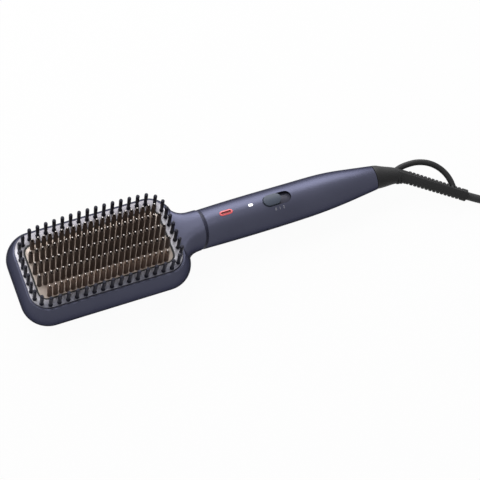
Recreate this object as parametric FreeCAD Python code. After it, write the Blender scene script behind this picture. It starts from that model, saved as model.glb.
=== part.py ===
"""Heated hair straightening brush with a paddle head, a round handle and a swivelling cord.

Frame: millimetres, +X from the paddle to the cord, +Z up on the bristle side.
The origin is the centre of the paddle's flat back, on which the brush lies.
"""
import FreeCAD, Part
import math
import os

Vec = FreeCAD.Vector

# Paddle casing
paddle_length = 127.2
paddle_width = 72.4
paddle_depth = 25.4
paddle_corner = 20.0
belly_height = 11.5
rim_inset = 5.1
rim_wall = 1.5
paddle_wall = 2.0
post_radius = 3.0

# Neck and spigot
axis_height = 15.0
neck_radius = 14.4
neck_end = 80.0
neck_root = 6.0
neck_root_inset = 7.1
neck_top_drop = 5.4
neck_bottom_rise = 2.4
neck_sections = 6
spigot_length = 9.0
spigot_root = 1.0
wire_passage_radius = 7.0
wire_passage_reach = 18.6

# Surround of the bristle field
frame_thickness = 2.0
frame_skirt = 1.6
frame_ledge_height = 1.2
fit_gap = 0.1

# Cool bristles
bristle_count = 48
bristle_end_edge = 1.9
bristle_side_edge = 1.7
bristle_field_corner = 12.0
bristle_height = 17.9
bristle_foot_radius = 1.7
bristle_neck_radius = 1.05
bristle_end_radius = 0.55
bristle_end_height = 0.9
bristle_sides = 8
retainer_gap = 1.0
retainer_thickness = 1.5

# Heated plate, pins and caps
plate_end_border = 6.9
plate_side_border = 8.3
plate_corner = 6.0
plate_thickness = 3.0
plate_recess = 0.4
seal_width = 1.2
seal_lip = 2.0
seal_lip_thickness = 1.2
pin_rows = 5
pin_pitch = 4.355
pin_end_margin = 2.0
pin_side_margin = 2.0
outer_row_missing = 2
pin_tip_height = 20.2
pin_crown = 1.8
pin_base = (3.1, 3.4)
pin_top = (2.5, 2.7)
pin_root = 1.0
cap_height = 5.0
cap_cover = 1.2
cap_base = (3.2, 3.5)
cap_shoulder = (3.0, 3.2)
cap_tip = (1.4, 1.5)

# Heater pack under the plate
heater_end_margin = 8.0
heater_side_margin = 2.2
heater_gap = 4.0
heater_thickness = 5.0
sheet_thickness = 0.4
clamp_thickness = 1.0
boss_radius = 2.4
boss_inset = 4.8
boss_root = 1.0
screw_radius = 1.2
screw_head_radius = 2.2
screw_head_height = 1.6
screw_depth = 4.0
fuse_radius = 2.0
fuse_length = 14.0

# Handle
ring_width = 2.5
ring_recess = 0.25
handle_end = 219.5
handle_bore = 12.3
bore_straight_end = 160.0
bore_taper_end = 200.0
bore_taper_radius = 7.4
handle_belly_radius = 14.73
handle_belly_place = 117.0
handle_taper_place = 157.0
handle_taper_bend = 21.5
handle_end_radius = 8.95

# Board and its parts
chassis_wall = 1.8
chassis_end = 158.0
board_lift = 1.0
board_thickness = 1.6
board_width = 22.4
board_gap = 0.3
switch_size = (18.0, 9.0, 5.4)
led_place = 115.0
led_size = (3.2, 2.6, 2.0)
lens_size = (3.7, 2.8)
lens_proud = 0.15
ion_place = 95.6
ion_size = (10.0, 4.0)
ion_slot = (6.2, 1.5)
ion_depth = 3.2
module_size = (16.0, 14.0, 6.0)
module_start = 93.5
needle_radius = 0.5
needle_length = 3.0

# Slide switch knob
slot_center = 136.5
slot_size = (22.0, 9.5)
knob_size = (13.5, 8.6)
knob_end_gap = 0.4
knob_proud = 1.4
knob_edge = 0.7
shutter_gap = 0.35
shutter_thickness = 1.1
shutter_width = 12.4
shutter_overlap = 0.6
stem_size = 2.4
stem_slot_gap = 0.4
stem_engagement = 1.6
slot_depth = 2.2

# Cord swivel
swivel_bore = 6.6
bush_start = 202.0
spindle_radius = 4.4
spindle_gap = 0.2
spindle_flange_radius = 6.2
spindle_flange_width = 3.2
spindle_bore = 2.2
swivel_gap = 0.3
spigot_radius = 3.0
relief_spigot = 7.0

# Strain relief: it leaves the handle turned by relief_turn about the handle's axis from straight down
relief_turn = 72.5
relief_bend = 33.0
sleeve_length = 47.9
sleeve_core = 3.9
sleeve_root = 2.0
rib_pitch = 3.1
rib_width = 1.7
rib_radius = 5.1
rib_taper = 0.5
web_width = 4.4
web_height = 8.6
end_collar = 4.0
elbow_run = 23.2
elbow_drop = 8.0
elbow_taper_power = 1.4
elbow_steps = 8
elbow_sides = 24
loop_sides = 12
loop_radius = 2.3
loop_start = 8.2
loop_lift = 2.5
loop_straight_end = 30.7
loop_bend = 25.0
loop_sink = 6.0

# Cord, coil and plug
cord_radius = 3.1
coil_inner = 25.0
coil_pitch = 6.65
coil_turns_per_layer = 3.5625
coil_steps_per_layer = 14
cord_sides = 8
tie_thickness = 0.8
tie_gap = 0.3
tie_width = 10.0
tie_place = 150.0
tie_corner = 3.0
bend_share = 0.45
run_lead = 10.0
run_points = [(311.0, -48.0, 3.3), (334.2, -57.4, 4.2), (353.6, -62.2, 4.2)]
tail_points = [(12.0, 0.0, 0.0), (24.0, 3.4, -1.9), (34.0, 9.9, -3.9), (44.0, 18.9, -3.9)]
plug_width = 35.3
plug_thickness = 13.7
plug_stations = [(0.0, 8.4, 8.4, 4.0), (13.0, 10.4, 10.0, 4.2), (20.0, 22.0, 13.0, 4.4),
                 (28.0, plug_width, plug_thickness, 4.6)]
plug_face = 35.0
plug_pin_radius = 2.0
plug_pin_length = 19.0
plug_pin_spacing = 18.6

# Levels worked out from the sizes above
frame_top = paddle_depth
frame_under = frame_top - frame_thickness
plate_top = frame_top - plate_recess
plate_under = plate_top - plate_thickness
lip_under = plate_under - seal_lip_thickness
ledge_under = lip_under - frame_ledge_height
retainer_top = frame_under - retainer_gap
heater_under = plate_under - heater_thickness
clamp_top = heater_under - sheet_thickness
clamp_under = clamp_top - clamp_thickness
handle_start = neck_end + ring_width
spigot_end = neck_end + spigot_length
board_under = axis_height + board_lift
board_top = board_under + board_thickness
frame_length = paddle_length - 2 * (rim_inset + rim_wall + fit_gap)
frame_width = paddle_width - 2 * (rim_inset + rim_wall + fit_gap)
frame_corner = paddle_corner - rim_inset - rim_wall - fit_gap
bristle_field_length = frame_length - 2 * bristle_end_edge
bristle_field_width = frame_width - 2 * bristle_side_edge
plate_length = frame_length - 2 * plate_end_border
plate_width = frame_width - 2 * plate_side_border
pin_columns = int((plate_length - 2 * pin_end_margin) / pin_pitch) + 1
pin_row_pitch = (plate_width - 2 * pin_side_margin) / (pin_rows - 1)
window_length = plate_length + 2 * seal_width
window_width = plate_width + 2 * seal_width
window_corner = plate_corner + seal_width
lip_length = plate_length - 2 * seal_lip
lip_width = plate_width - 2 * seal_lip
lip_corner = plate_corner - seal_lip
heater_length = plate_length - 2 * heater_end_margin
heater_width = (lip_width - 2 * heater_side_margin - heater_gap) / 2
heater_spacing = heater_width + heater_gap
skirt_length = window_length + 2 * frame_skirt
skirt_width = window_width + 2 * frame_skirt
skirt_corner = window_corner + frame_skirt
rib_count = int((sleeve_length - end_collar) / rib_pitch) + 1


def rounded_wire(length, width, radius, z):
    """Closed outline of a rounded rectangle, centred on the Z axis."""
    a = length / 2 - radius
    b = width / 2 - radius
    edges = []
    for turn in range(4):
        start = math.radians(90 * turn)
        cx = a if turn in (0, 3) else -a
        cy = b if turn in (0, 1) else -b
        arc = [Vec(cx + radius * math.cos(start + s), cy + radius * math.sin(start + s), z)
               for s in (0, math.pi / 4, math.pi / 2)]
        edges.append(Part.Arc(*arc).toShape())
    ends = [(e.Vertexes[0].Point, e.Vertexes[-1].Point) for e in edges]
    outline = []
    for i, edge in enumerate(edges):
        outline.append(edge)
        start = ends[i][1]
        stop = ends[(i + 1) % 4][0]
        if start.distanceToPoint(stop) > 1e-6:
            outline.append(Part.makeLine(start, stop))
    return Part.Wire(outline)


def rounded_block(length, width, radius, z0, z1):
    """Upright block with a rounded rectangular plan."""
    return Part.Face(rounded_wire(length, width, radius, z0)).extrude(Vec(0, 0, z1 - z0))


def pill(center_x, size, z0, z1):
    """Upright block with half-round ends along X."""
    block = rounded_block(size[0], size[1], size[1] / 2 - 1e-4, z0, z1)
    block.translate(Vec(center_x, 0, 0))
    return block


def box(x0, x1, y0, y1, z0, z1):
    return Part.makeBox(x1 - x0, y1 - y0, z1 - z0, Vec(x0, y0, z0))


def rod(radius, x0, x1):
    """Cylinder on the handle's axis."""
    return Part.makeCylinder(radius, x1 - x0, Vec(x0, 0, axis_height), Vec(1, 0, 0))


def arc_edge(center, radius, from_deg, to_deg):
    """Arc in the XZ plane."""
    points = []
    for share in (0, 0.5, 1):
        a = math.radians(from_deg + share * (to_deg - from_deg))
        points.append(Vec(center[0] + radius * math.cos(a), 0, center[1] + radius * math.sin(a)))
    return Part.Arc(*points).toShape()


def pillow(length, width, corner, belly_z, top_z, top_inset):
    """Rounded rectangular body whose side swells from the floor to a belly and leans in to the top."""
    rise = top_z - belly_z
    high_radius = (top_inset ** 2 + rise ** 2) / (2 * top_inset)
    top_angle = math.degrees(math.asin(rise / high_radius))
    low = arc_edge((corner - belly_z, belly_z), belly_z, -90, 0)
    high = arc_edge((corner - high_radius, belly_z), high_radius, 0, top_angle)
    foot = low.Vertexes[0].Point
    head = high.Vertexes[-1].Point
    inner_top = Vec(0, 0, top_z)
    side = Part.Face(Part.Wire([low, high, Part.makeLine(head, inner_top),
                                Part.makeLine(inner_top, Vec()), Part.makeLine(Vec(), foot)]))
    a = length / 2 - corner
    b = width / 2 - corner
    pieces = []
    for turn, (cx, cy, run) in enumerate(((a, b, 2 * a), (-a, b, 2 * b), (-a, -b, 2 * a), (a, -b, 2 * b))):
        face = side.copy()
        face.rotate(Vec(), Vec(0, 0, 1), 90 * turn)
        face.translate(Vec(cx, cy, 0))
        pieces.append(face.revolve(Vec(cx, cy, 0), Vec(0, 0, 1), 90))
        face.rotate(Vec(cx, cy, 0), Vec(0, 0, 1), 90)
        along = math.radians(90 * turn + 180)
        pieces.append(face.extrude(Vec(run * math.cos(along), run * math.sin(along), 0)))
    core = box(-a, a, -b, b, 0, top_z)
    return core.multiFuse(pieces).removeSplitter()


def neck():
    """Flare that runs from the end of the paddle into the round neck."""
    root = paddle_length / 2 - neck_root
    flare = paddle_width / 2 - neck_root_inset - neck_radius
    sections = []
    for i in range(neck_sections):
        share = i / (neck_sections - 1)
        left = 1 - share
        half_width = neck_radius + flare * left ** 3
        top = axis_height + neck_radius - neck_top_drop * left ** 2
        bottom = axis_height - neck_radius + neck_bottom_rise * left ** 2
        ring = Part.makeCircle(1.0, Vec(), Vec(1, 0, 0))
        place = FreeCAD.Matrix()
        place.scale(1, half_width, (top - bottom) / 2)
        place.move(Vec(root + share * (neck_end - root), 0, (top + bottom) / 2))
        sections.append(Part.Wire(ring.transformGeometry(place)))
    return Part.makeLoft(sections, True, False)


def post_places():
    """Places of the four posts that carry the surround."""
    x = (skirt_length + lip_length) / 4 - plate_corner
    y = (skirt_width + lip_width) / 4
    return [(sx * x, sy * y) for sx in (1, -1) for sy in (1, -1)]


def paddle_body():
    outer = pillow(paddle_length, paddle_width, paddle_corner, belly_height, paddle_depth, rim_inset)
    inset = rim_inset + rim_wall
    cavity = rounded_block(paddle_length - 2 * inset, paddle_width - 2 * inset, paddle_corner - inset,
                           paddle_wall, paddle_depth)
    spigot = rod(handle_bore - fit_gap, neck_end - spigot_root, spigot_end)
    passage = rod(wire_passage_radius, paddle_length / 2 - wire_passage_reach, spigot_end)
    body = outer.fuse([neck(), spigot]).cut(cavity).cut(passage)
    posts = [Part.makeCylinder(post_radius, ledge_under - paddle_wall / 2, Vec(x, y, paddle_wall / 2))
             for x, y in post_places()]
    return body.fuse(posts).removeSplitter()


def bristle_places():
    """Evenly spaced places on a rounded rectangle, starting at the middle of its far side."""
    path = rounded_wire(bristle_field_length, bristle_field_width, bristle_field_corner, 0)
    places = path.discretize(Number=4 * bristle_count + 1)
    offset = min(range(len(places)), key=lambda i: (places[i] - Vec(0, bristle_field_width / 2, 0)).Length)
    spots = [places[(offset + 4 * i) % (4 * bristle_count)] for i in range(bristle_count)]
    return [(p.x, p.y) for p in spots]


def polygon(radius, z):
    """Corners of a regular polygon round the Z axis."""
    step = 2 * math.pi / bristle_sides
    return [Vec(radius * math.cos(step * (i + 0.5)), radius * math.sin(step * (i + 0.5)), z)
            for i in range(bristle_sides)]


def rectangle(size, z):
    """Corners of a rectangle round the Z axis."""
    x = size[0] / 2
    y = size[1] / 2
    return [Vec(x, y, z), Vec(-x, y, z), Vec(-x, -y, z), Vec(x, -y, z)]


def flat_face(corners):
    return Part.Face(Part.makePolygon(corners + corners[:1]))


def tapered_prism(levels):
    """Solid with flat sides through parallel outlines of the same shape, from the bottom up."""
    faces = [flat_face(levels[0]), flat_face(levels[-1])]
    for low, high in zip(levels, levels[1:]):
        for i in range(len(low)):
            j = (i + 1) % len(low)
            faces.append(flat_face([low[i], low[j], high[j], high[i]]))
    return Part.Solid(Part.Shell(faces))


def bristle_frame():
    plate = rounded_block(frame_length, frame_width, frame_corner, frame_under, frame_top)
    skirt_top = frame_under + frame_thickness / 2
    skirt = rounded_block(skirt_length, skirt_width, skirt_corner, ledge_under, skirt_top)
    window = rounded_block(window_length, window_width, window_corner, lip_under, frame_top)
    opening = rounded_block(lip_length, lip_width, lip_corner, ledge_under, lip_under)
    hole = flat_face(polygon(bristle_foot_radius + fit_gap, frame_under)).extrude(Vec(0, 0, frame_thickness))
    holes = []
    for x, y in bristle_places():
        copy = hole.copy()
        copy.translate(Vec(x, y, 0))
        holes.append(copy)
    return plate.fuse(skirt).cut(window).cut(opening).cut(Part.makeCompound(holes)).removeSplitter()


def cool_bristles():
    tip = frame_top + bristle_height
    levels = [(bristle_foot_radius, retainer_top), (bristle_neck_radius, tip - bristle_end_height),
              (bristle_end_radius, tip)]
    one = tapered_prism([polygon(r, z) for r, z in levels])
    copies = []
    for x, y in bristle_places():
        copy = one.copy()
        copy.translate(Vec(x, y, 0))
        copies.append(copy)
    return Part.makeCompound(copies)


def bristle_retainer():
    z0 = retainer_top - retainer_thickness
    grow = 2 * bristle_foot_radius
    outer = rounded_block(bristle_field_length + grow, bristle_field_width + grow,
                          bristle_field_corner + grow / 2, z0, retainer_top)
    inner = rounded_block(skirt_length, skirt_width, skirt_corner, z0, retainer_top)
    return outer.cut(inner)


def pin_places():
    """Place and tip level of every heated pin: full inner rows, shorter outer rows, tips on a crown."""
    half = (pin_rows - 1) / 2
    places = []
    for row in range(pin_rows):
        y = (row - half) * pin_row_pitch
        columns = pin_columns - outer_row_missing if row in (0, pin_rows - 1) else pin_columns
        tip = frame_top + pin_tip_height - pin_crown * ((row - half) / half) ** 2
        for column in range(columns):
            places.append(((column - (columns - 1) / 2) * pin_pitch, y, tip))
    return places


def heated_pin(tip):
    return tapered_prism([rectangle(pin_base, plate_top - pin_root), rectangle(pin_top, tip - cap_cover)])


def boss_places():
    x = plate_length / 2 - boss_inset
    return [(sx * x, sy * heater_spacing / 2) for sx in (1, -1) for sy in (1, -1)]


def heat_plate():
    plate = rounded_block(plate_length, plate_width, plate_corner, plate_under, plate_top)
    pins = []
    for x, y, tip in pin_places():
        pin = heated_pin(tip)
        pin.translate(Vec(x, y, 0))
        pins.append(pin)
    bosses = [Part.makeCylinder(boss_radius, plate_under - clamp_top + boss_root, Vec(x, y, clamp_top))
              for x, y in boss_places()]
    holes = [Part.makeCylinder(screw_radius + fit_gap, screw_depth, Vec(x, y, clamp_top))
             for x, y in boss_places()]
    return plate.multiFuse(pins + bosses).cut(Part.makeCompound(holes))


def pin_caps():
    made = {}
    caps = []
    for x, y, tip in pin_places():
        if tip not in made:
            shoulder = tip - cap_cover
            outer = tapered_prism([rectangle(cap_base, tip - cap_height), rectangle(cap_shoulder, shoulder),
                                   rectangle(cap_tip, tip)])
            made[tip] = outer.cut(heated_pin(tip))
        cap = made[tip].copy()
        cap.translate(Vec(x, y, 0))
        caps.append(cap)
    return Part.makeCompound(caps)


def plate_seal():
    outer = rounded_block(window_length, window_width, window_corner, lip_under, plate_top)
    pocket = rounded_block(plate_length, plate_width, plate_corner, plate_under, plate_top)
    opening = rounded_block(lip_length, lip_width, lip_corner, lip_under, plate_under)
    return outer.cut(pocket).cut(opening)


def ptc_heaters():
    strips = []
    for side in (-1, 1):
        y = side * heater_spacing / 2
        strips.append(box(-heater_length / 2, heater_length / 2, y - heater_width / 2, y + heater_width / 2,
                          heater_under, plate_under))
    return Part.makeCompound(strips)


def insulation_sheet():
    half = (heater_spacing + heater_width) / 2
    return box(-heater_length / 2, heater_length / 2, -half, half, clamp_top, heater_under)


def heater_clamp():
    half = (heater_spacing + heater_width) / 2
    reach = plate_length / 2 - boss_inset + boss_radius
    blank = rounded_block(2 * reach, 2 * half, boss_radius, clamp_under, clamp_top)
    holes = [Part.makeCylinder(screw_radius + fit_gap, clamp_thickness, Vec(x, y, clamp_under))
             for x, y in boss_places()]
    return blank.cut(Part.makeCompound(holes))


def clamp_screws():
    screws = []
    for x, y in boss_places():
        head_under = clamp_under - screw_head_height
        head = Part.makeCylinder(screw_head_radius, screw_head_height, Vec(x, y, head_under))
        shank = Part.makeCylinder(screw_radius, clamp_thickness + screw_depth, Vec(x, y, clamp_under))
        screws.append(head.fuse(shank))
    return Part.makeCompound(screws)


def thermal_fuse():
    return Part.makeCylinder(fuse_radius, fuse_length, Vec(-fuse_length / 2, 0, clamp_under - fuse_radius),
                             Vec(1, 0, 0))


def neck_ring():
    ring = rod(neck_radius - ring_recess, neck_end, handle_start)
    return ring.cut(rod(handle_bore, neck_end, handle_start))


def handle_side():
    """Side line of the handle: a long swelling arc, a bend and a straight taper, in the XZ plane."""
    reach = handle_belly_place - handle_start
    drop = handle_belly_radius - neck_radius
    swell = (reach ** 2 + drop ** 2) / (2 * drop)
    center = Vec(handle_belly_place, 0, axis_height + handle_belly_radius - swell)
    first = Vec(handle_start, 0, axis_height + neck_radius)
    belly = Vec(handle_belly_place, 0, axis_height + handle_belly_radius)
    out = handle_taper_place - handle_belly_place
    leave = Vec(handle_taper_place, 0, center.z + math.sqrt(swell ** 2 - out ** 2))
    way = Vec(leave.z - center.z, 0, -out).normalize()
    corner = leave + way * handle_taper_bend
    last = Vec(handle_end, 0, axis_height + handle_end_radius)
    taper = (last - corner).normalize()
    join = corner + taper * handle_taper_bend
    half_turn = way.getAngle(taper) / 2
    inward = (taper - way).normalize()
    middle = corner + inward * (handle_taper_bend * (1 / math.sin(half_turn) - 1 / math.tan(half_turn)))
    return [Part.Arc(first, belly, leave).toShape(), Part.Arc(leave, middle, join).toShape(),
            Part.makeLine(join, last)]


def handle_radius(x):
    """Outer radius of the handle at a place along it."""
    upright = Part.makeLine(Vec(x, 0, axis_height), Vec(x, 0, axis_height + 2 * handle_belly_radius))
    side = Part.Wire(handle_side())
    return side.distToShape(upright)[1][0][0].z - axis_height


def switch_hole():
    return pill(slot_center, slot_size, axis_height, axis_height + 2 * handle_bore)


def handle_shell():
    """Turned tube with the holes for the controls in its top."""
    side = handle_side()
    bore = [(handle_end, swivel_bore), (bore_taper_end, swivel_bore), (bore_taper_end, bore_taper_radius),
            (bore_straight_end, handle_bore), (handle_start, handle_bore)]
    corners = [side[-1].Vertexes[-1].Point, *[Vec(x, 0, axis_height + r) for x, r in bore],
               side[0].Vertexes[0].Point]
    section = Part.Face(Part.Wire(side + Part.makePolygon(corners).Edges))
    tube = section.revolve(Vec(handle_start, 0, axis_height), Vec(1, 0, 0), 360)
    top = axis_height + 2 * handle_bore
    grow = 2 * fit_gap
    ion_hole = pill(ion_place, (ion_size[0] + grow, ion_size[1] + grow), axis_height, top)
    lens_hole = pill(led_place, (lens_size[0] + grow, lens_size[1] + grow), axis_height, top)
    return tube.cut(switch_hole()).cut(ion_hole).cut(lens_hole)


def chassis():
    start = spigot_end + board_gap
    tube = rod(handle_bore - fit_gap, start, chassis_end).cut(
        rod(handle_bore - fit_gap - chassis_wall, start, chassis_end))
    over = box(start, chassis_end, -handle_bore, handle_bore, board_under, board_under + 2 * handle_bore)
    return tube.cut(over)


def circuit_board():
    return box(spigot_end + board_gap, chassis_end, -board_width / 2, board_width / 2, board_under, board_top)


def slide_switch():
    length, width, height = switch_size
    case = box(slot_center - length / 2, slot_center + length / 2, -width / 2, width / 2,
               board_top, board_top + height)
    top = board_top + height
    reach = (slot_size[0] - knob_size[0]) / 2 - knob_end_gap + stem_size / 2 + stem_slot_gap
    half = stem_size / 2 + stem_slot_gap
    groove = box(slot_center - reach, slot_center + reach, -half, half, top - slot_depth, top)
    return case.cut(groove)


def slide_knob():
    """Knob at the paddle end of its slot, with the curved shutter that closes the slot from inside."""
    travel_half = (slot_size[0] - knob_size[0]) / 2 - knob_end_gap
    x = slot_center - travel_half
    radius = handle_radius(x) + knob_proud
    outer = handle_bore - shutter_gap
    inner = outer - shutter_thickness
    button = pill(x, knob_size, axis_height + inner, axis_height + 2 * radius)
    button = button.common(rod(radius, x - knob_size[0], x + knob_size[0])).removeSplitter()
    rim = [e for e in button.Edges if e.BoundBox.ZMin > axis_height + outer + knob_proud]
    button = button.makeChamfer(knob_edge, rim)
    half = slot_size[0] / 2 + travel_half + shutter_overlap
    shutter = rod(outer, x - half, x + half).cut(rod(inner, x - half, x + half))
    keep = box(x - half, x + half, -shutter_width / 2, shutter_width / 2, axis_height, axis_height + outer)
    switch_top = board_top + switch_size[2]
    stem = box(x - stem_size / 2, x + stem_size / 2, -stem_size / 2, stem_size / 2,
               switch_top - stem_engagement, axis_height + outer - shutter_thickness / 2)
    return shutter.common(keep).fuse([button, stem]).removeSplitter()


def led_lamp():
    x, y, z = led_size
    return box(led_place - x / 2, led_place + x / 2, -y / 2, y / 2, board_top, board_top + z)


def led_lens():
    stem = pill(led_place, lens_size, board_top + led_size[2], axis_height + 2 * handle_bore)
    radius = handle_radius(led_place) + lens_proud
    return stem.common(rod(radius, led_place - lens_size[0], led_place + lens_size[0]))


def ion_module():
    x, y, z = module_size
    return box(module_start, module_start + x, -y / 2, y / 2, board_top, board_top + z)


def ion_needle():
    return Part.makeCylinder(needle_radius, needle_length, Vec(ion_place, 0, board_top + module_size[2]))


def ion_outlet():
    radius = handle_radius(ion_place) + lens_proud
    insert = pill(ion_place, ion_size, axis_height + radius - ion_depth, axis_height + 2 * handle_bore)
    insert = insert.common(rod(radius, ion_place - ion_size[0], ion_place + ion_size[0]))
    slot = pill(ion_place, ion_slot, axis_height, axis_height + 2 * handle_bore)
    return insert.cut(slot)


def swivel_bush():
    return rod(swivel_bore - fit_gap / 2, bush_start, handle_end).cut(
        rod(spindle_radius + spindle_gap, bush_start, handle_end))


def swivel_spindle():
    relief_start = handle_end + swivel_gap
    flange_end = bush_start - swivel_gap
    flange = rod(spindle_flange_radius, flange_end - spindle_flange_width, flange_end)
    shaft = rod(spindle_radius, flange_end - spindle_flange_width, relief_start)
    tip = rod(spigot_radius, relief_start, relief_start + relief_spigot)
    bore = rod(spindle_bore, flange_end - spindle_flange_width, relief_start + relief_spigot)
    return flange.fuse([shaft, tip]).cut(bore)


turn = math.radians(relief_turn)
bend_side = Vec(0, -math.sin(turn), -math.cos(turn))
bend_normal = Vec(1, 0, 0).cross(bend_side)


def relief_point(along, side):
    """Point of the strain relief's own plane, measured from its base on the handle's axis."""
    return Vec(handle_end + swivel_gap + along, 0, axis_height) + bend_side * side


def relief_direction(angle):
    a = math.radians(angle)
    return Vec(1, 0, 0) * math.cos(a) + bend_side * math.sin(a)


def sleeve_start():
    return relief_point(elbow_run, elbow_drop)


def sleeve_end():
    return sleeve_start() + relief_direction(relief_bend) * sleeve_length


def ring_points(center, way, radius, sides):
    """Corners of a regular polygon round a point of the strain relief's plane, square to a direction."""
    across = bend_normal.cross(way).normalize()
    step = 2 * math.pi / sides
    return [center + across * (radius * math.cos(step * i)) + bend_normal * (radius * math.sin(step * i))
            for i in range(sides)]


def curved_elbow():
    """Tapered elbow that leaves the handle straight and ends along the sleeve, with flat facets."""
    power = math.tan(math.radians(relief_bend)) * elbow_run / elbow_drop
    rings = []
    for i in range(elbow_steps + 1):
        share = i / elbow_steps
        slope = elbow_drop * power / elbow_run * share ** (power - 1)
        radius = handle_end_radius - (handle_end_radius - rib_radius) * share ** elbow_taper_power
        center = relief_point(elbow_run * share, elbow_drop * share ** power)
        way = relief_direction(math.degrees(math.atan(slope)))
        rings.append(ring_points(center, way, radius, elbow_sides))
    faces = [flat_face(rings[0]), flat_face(rings[-1])]
    for low, high in zip(rings, rings[1:]):
        for i in range(elbow_sides):
            j = (i + 1) % elbow_sides
            faces.append(flat_face([low[i], low[j], high[j]]))
            faces.append(flat_face([low[i], high[j], high[i]]))
    return Part.Solid(Part.Shell(faces))


def strain_relief():
    """Tapered elbow, ribbed sleeve with a smooth web, and the hanging loop beside it."""
    elbow = curved_elbow()
    start = sleeve_start()
    way = relief_direction(relief_bend)
    pieces = [Part.makeCylinder(sleeve_core, sleeve_length + sleeve_root, start - way * sleeve_root, way)]
    for i in range(rib_count):
        radius = rib_radius - rib_taper * i / (rib_count - 1)
        pieces.append(Part.makeCylinder(radius, rib_width, start + way * (rib_pitch * i), way))
    collar_start = start + way * (sleeve_length - end_collar)
    pieces.append(Part.makeCylinder(rib_radius - rib_taper, end_collar, collar_start, way))
    web = Part.makeBox(sleeve_length, web_width, web_height, Vec(0, -web_width / 2, -web_height / 2))
    across = bend_normal.cross(way)
    web.Placement = FreeCAD.Placement(start, FreeCAD.Rotation(way, across, bend_normal, "XYZ"))
    pieces.append(web)
    loop_from = relief_point(loop_start, -loop_lift)
    corner = relief_point(loop_straight_end, -loop_lift)
    center = relief_point(loop_straight_end, loop_bend - loop_lift)
    down = relief_point(loop_straight_end + loop_bend, loop_bend - loop_lift)
    first = flat_face(ring_points(loop_from, Vec(1, 0, 0), loop_radius, loop_sides))
    pieces.append(first.extrude(corner - loop_from))
    bend = flat_face(ring_points(corner, Vec(1, 0, 0), loop_radius, loop_sides))
    pieces.append(bend.revolve(center, bend_normal, 90))
    end = flat_face(ring_points(down, bend_side, loop_radius, loop_sides))
    pieces.append(end.extrude(bend_side * loop_sink))
    socket = rod(spigot_radius, handle_end + swivel_gap, handle_end + swivel_gap + relief_spigot)
    return elbow.multiFuse(pieces).cut(socket).removeSplitter()


def rounded_path(points):
    """Straight runs joined by tangent arcs, each as large as its two runs allow, and the arcs' radii."""
    edges = []
    radii = []
    last = points[0]
    for before, corner, after in zip(points, points[1:], points[2:]):
        way_in = (corner - before).normalize()
        way_out = (after - corner).normalize()
        half_turn = way_in.getAngle(way_out) / 2
        tangent = bend_share * min((corner - before).Length, (after - corner).Length)
        radius = tangent / math.tan(half_turn)
        radii.append(radius)
        start = corner - way_in * tangent
        stop = corner + way_out * tangent
        inward = (way_out - way_in).normalize()
        middle = corner + inward * (radius / math.cos(half_turn) - radius)
        edges.append(Part.makeLine(last, start))
        edges.append(Part.Arc(start, middle, stop).toShape())
        last = stop
    edges.append(Part.makeLine(last, points[-1]))
    return Part.Wire(edges), radii


def cord_section(start, way):
    """Outline of the cord with flat sides, square to its way and with a flat side down."""
    across = Vec(0, 0, 1).cross(way).normalize()
    upright = way.cross(across)
    corners = []
    for i in range(cord_sides + 1):
        a = 2 * math.pi * (i + 0.5) / cord_sides
        corners.append(start + across * (cord_radius * math.cos(a)) + upright * (cord_radius * math.sin(a)))
    return Part.makePolygon(corners)


def cord_tube(name, points):
    path, radii = rounded_path(points)
    tube = path.makePipeShell([cord_section(points[0], (points[1] - points[0]).normalize())], True, False)
    ideal = cord_sides / 2 * math.sin(2 * math.pi / cord_sides) * cord_radius ** 2 * path.Length
    print(name, "arc radii", [round(r, 1) for r in radii], "length", round(path.Length, 1),
          "volume ratio", round(tube.Volume / ideal, 4))
    return tube


def run_route():
    start = sleeve_end()
    return [start, start + relief_direction(relief_bend) * run_lead] + [Vec(*p) for p in run_points]


coil_outer = coil_inner + coil_turns_per_layer * coil_pitch
coil_turns = 2 * coil_turns_per_layer


def coil_local(t):
    """Point of the coil at t turns, about its own centre and above its lowest layer."""
    radius = coil_inner + coil_pitch * abs(t - coil_turns_per_layer)
    climb = coil_turns_per_layer / coil_steps_per_layer
    share = min(max((t - coil_turns_per_layer + climb) / (2 * climb), 0), 1)
    rise = coil_pitch * (1 - math.cos(math.pi * share)) / 2
    a = 2 * math.pi * t
    return Vec(radius * math.cos(a), radius * math.sin(a), rise)


def coil_tangent(t):
    step = 1e-4
    return (coil_local(t + step) - coil_local(t - step)).normalize()


def coil_place():
    """Placement that sets the start of the coil one cord diameter past the end of the free run."""
    route = run_route()
    heading = (route[-1] - route[-2]).normalize()
    tangent = coil_tangent(0)
    turned = math.degrees(math.atan2(heading.y, heading.x) - math.atan2(tangent.y, tangent.x))
    rotation = FreeCAD.Rotation(Vec(0, 0, 1), turned)
    start = route[-1] + heading * (2 * cord_radius)
    return FreeCAD.Placement(start - rotation.multVec(coil_local(0)), rotation)


def biarc(p0, t0, p1, t1):
    """Two tangent arcs from p0 to p1 that keep both end directions."""
    v = p1 - p0
    t = t0 + t1
    spread = 2 * (1 - t0.dot(t1))
    reach = (-v.dot(t) + math.sqrt(v.dot(t) ** 2 + spread * v.dot(v))) / spread
    joint = (p0 + p1 + (t0 - t1) * reach) * 0.5
    return [arc_from(p0, t0, joint), arc_from(p1, t1 * -1, joint)]


def arc_from(start, direction, stop):
    """Arc that leaves start in the given direction and ends at stop."""
    chord = stop - start
    lean = direction.getAngle(chord)
    side = (direction - chord * (direction.dot(chord) / chord.dot(chord))).normalize()
    middle = (start + stop) * 0.5 + side * (chord.Length / 2 * math.tan(lean / 2))
    return Part.Arc(start, middle, stop).toShape()


def coil_ends():
    """End of the coil's straight lead-out and its direction."""
    place = coil_place()
    way = place.Rotation.multVec(coil_tangent(coil_turns))
    way.z = 0
    way.normalize()
    return place.multVec(coil_local(coil_turns)) + way * (2 * cord_radius), way


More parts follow.
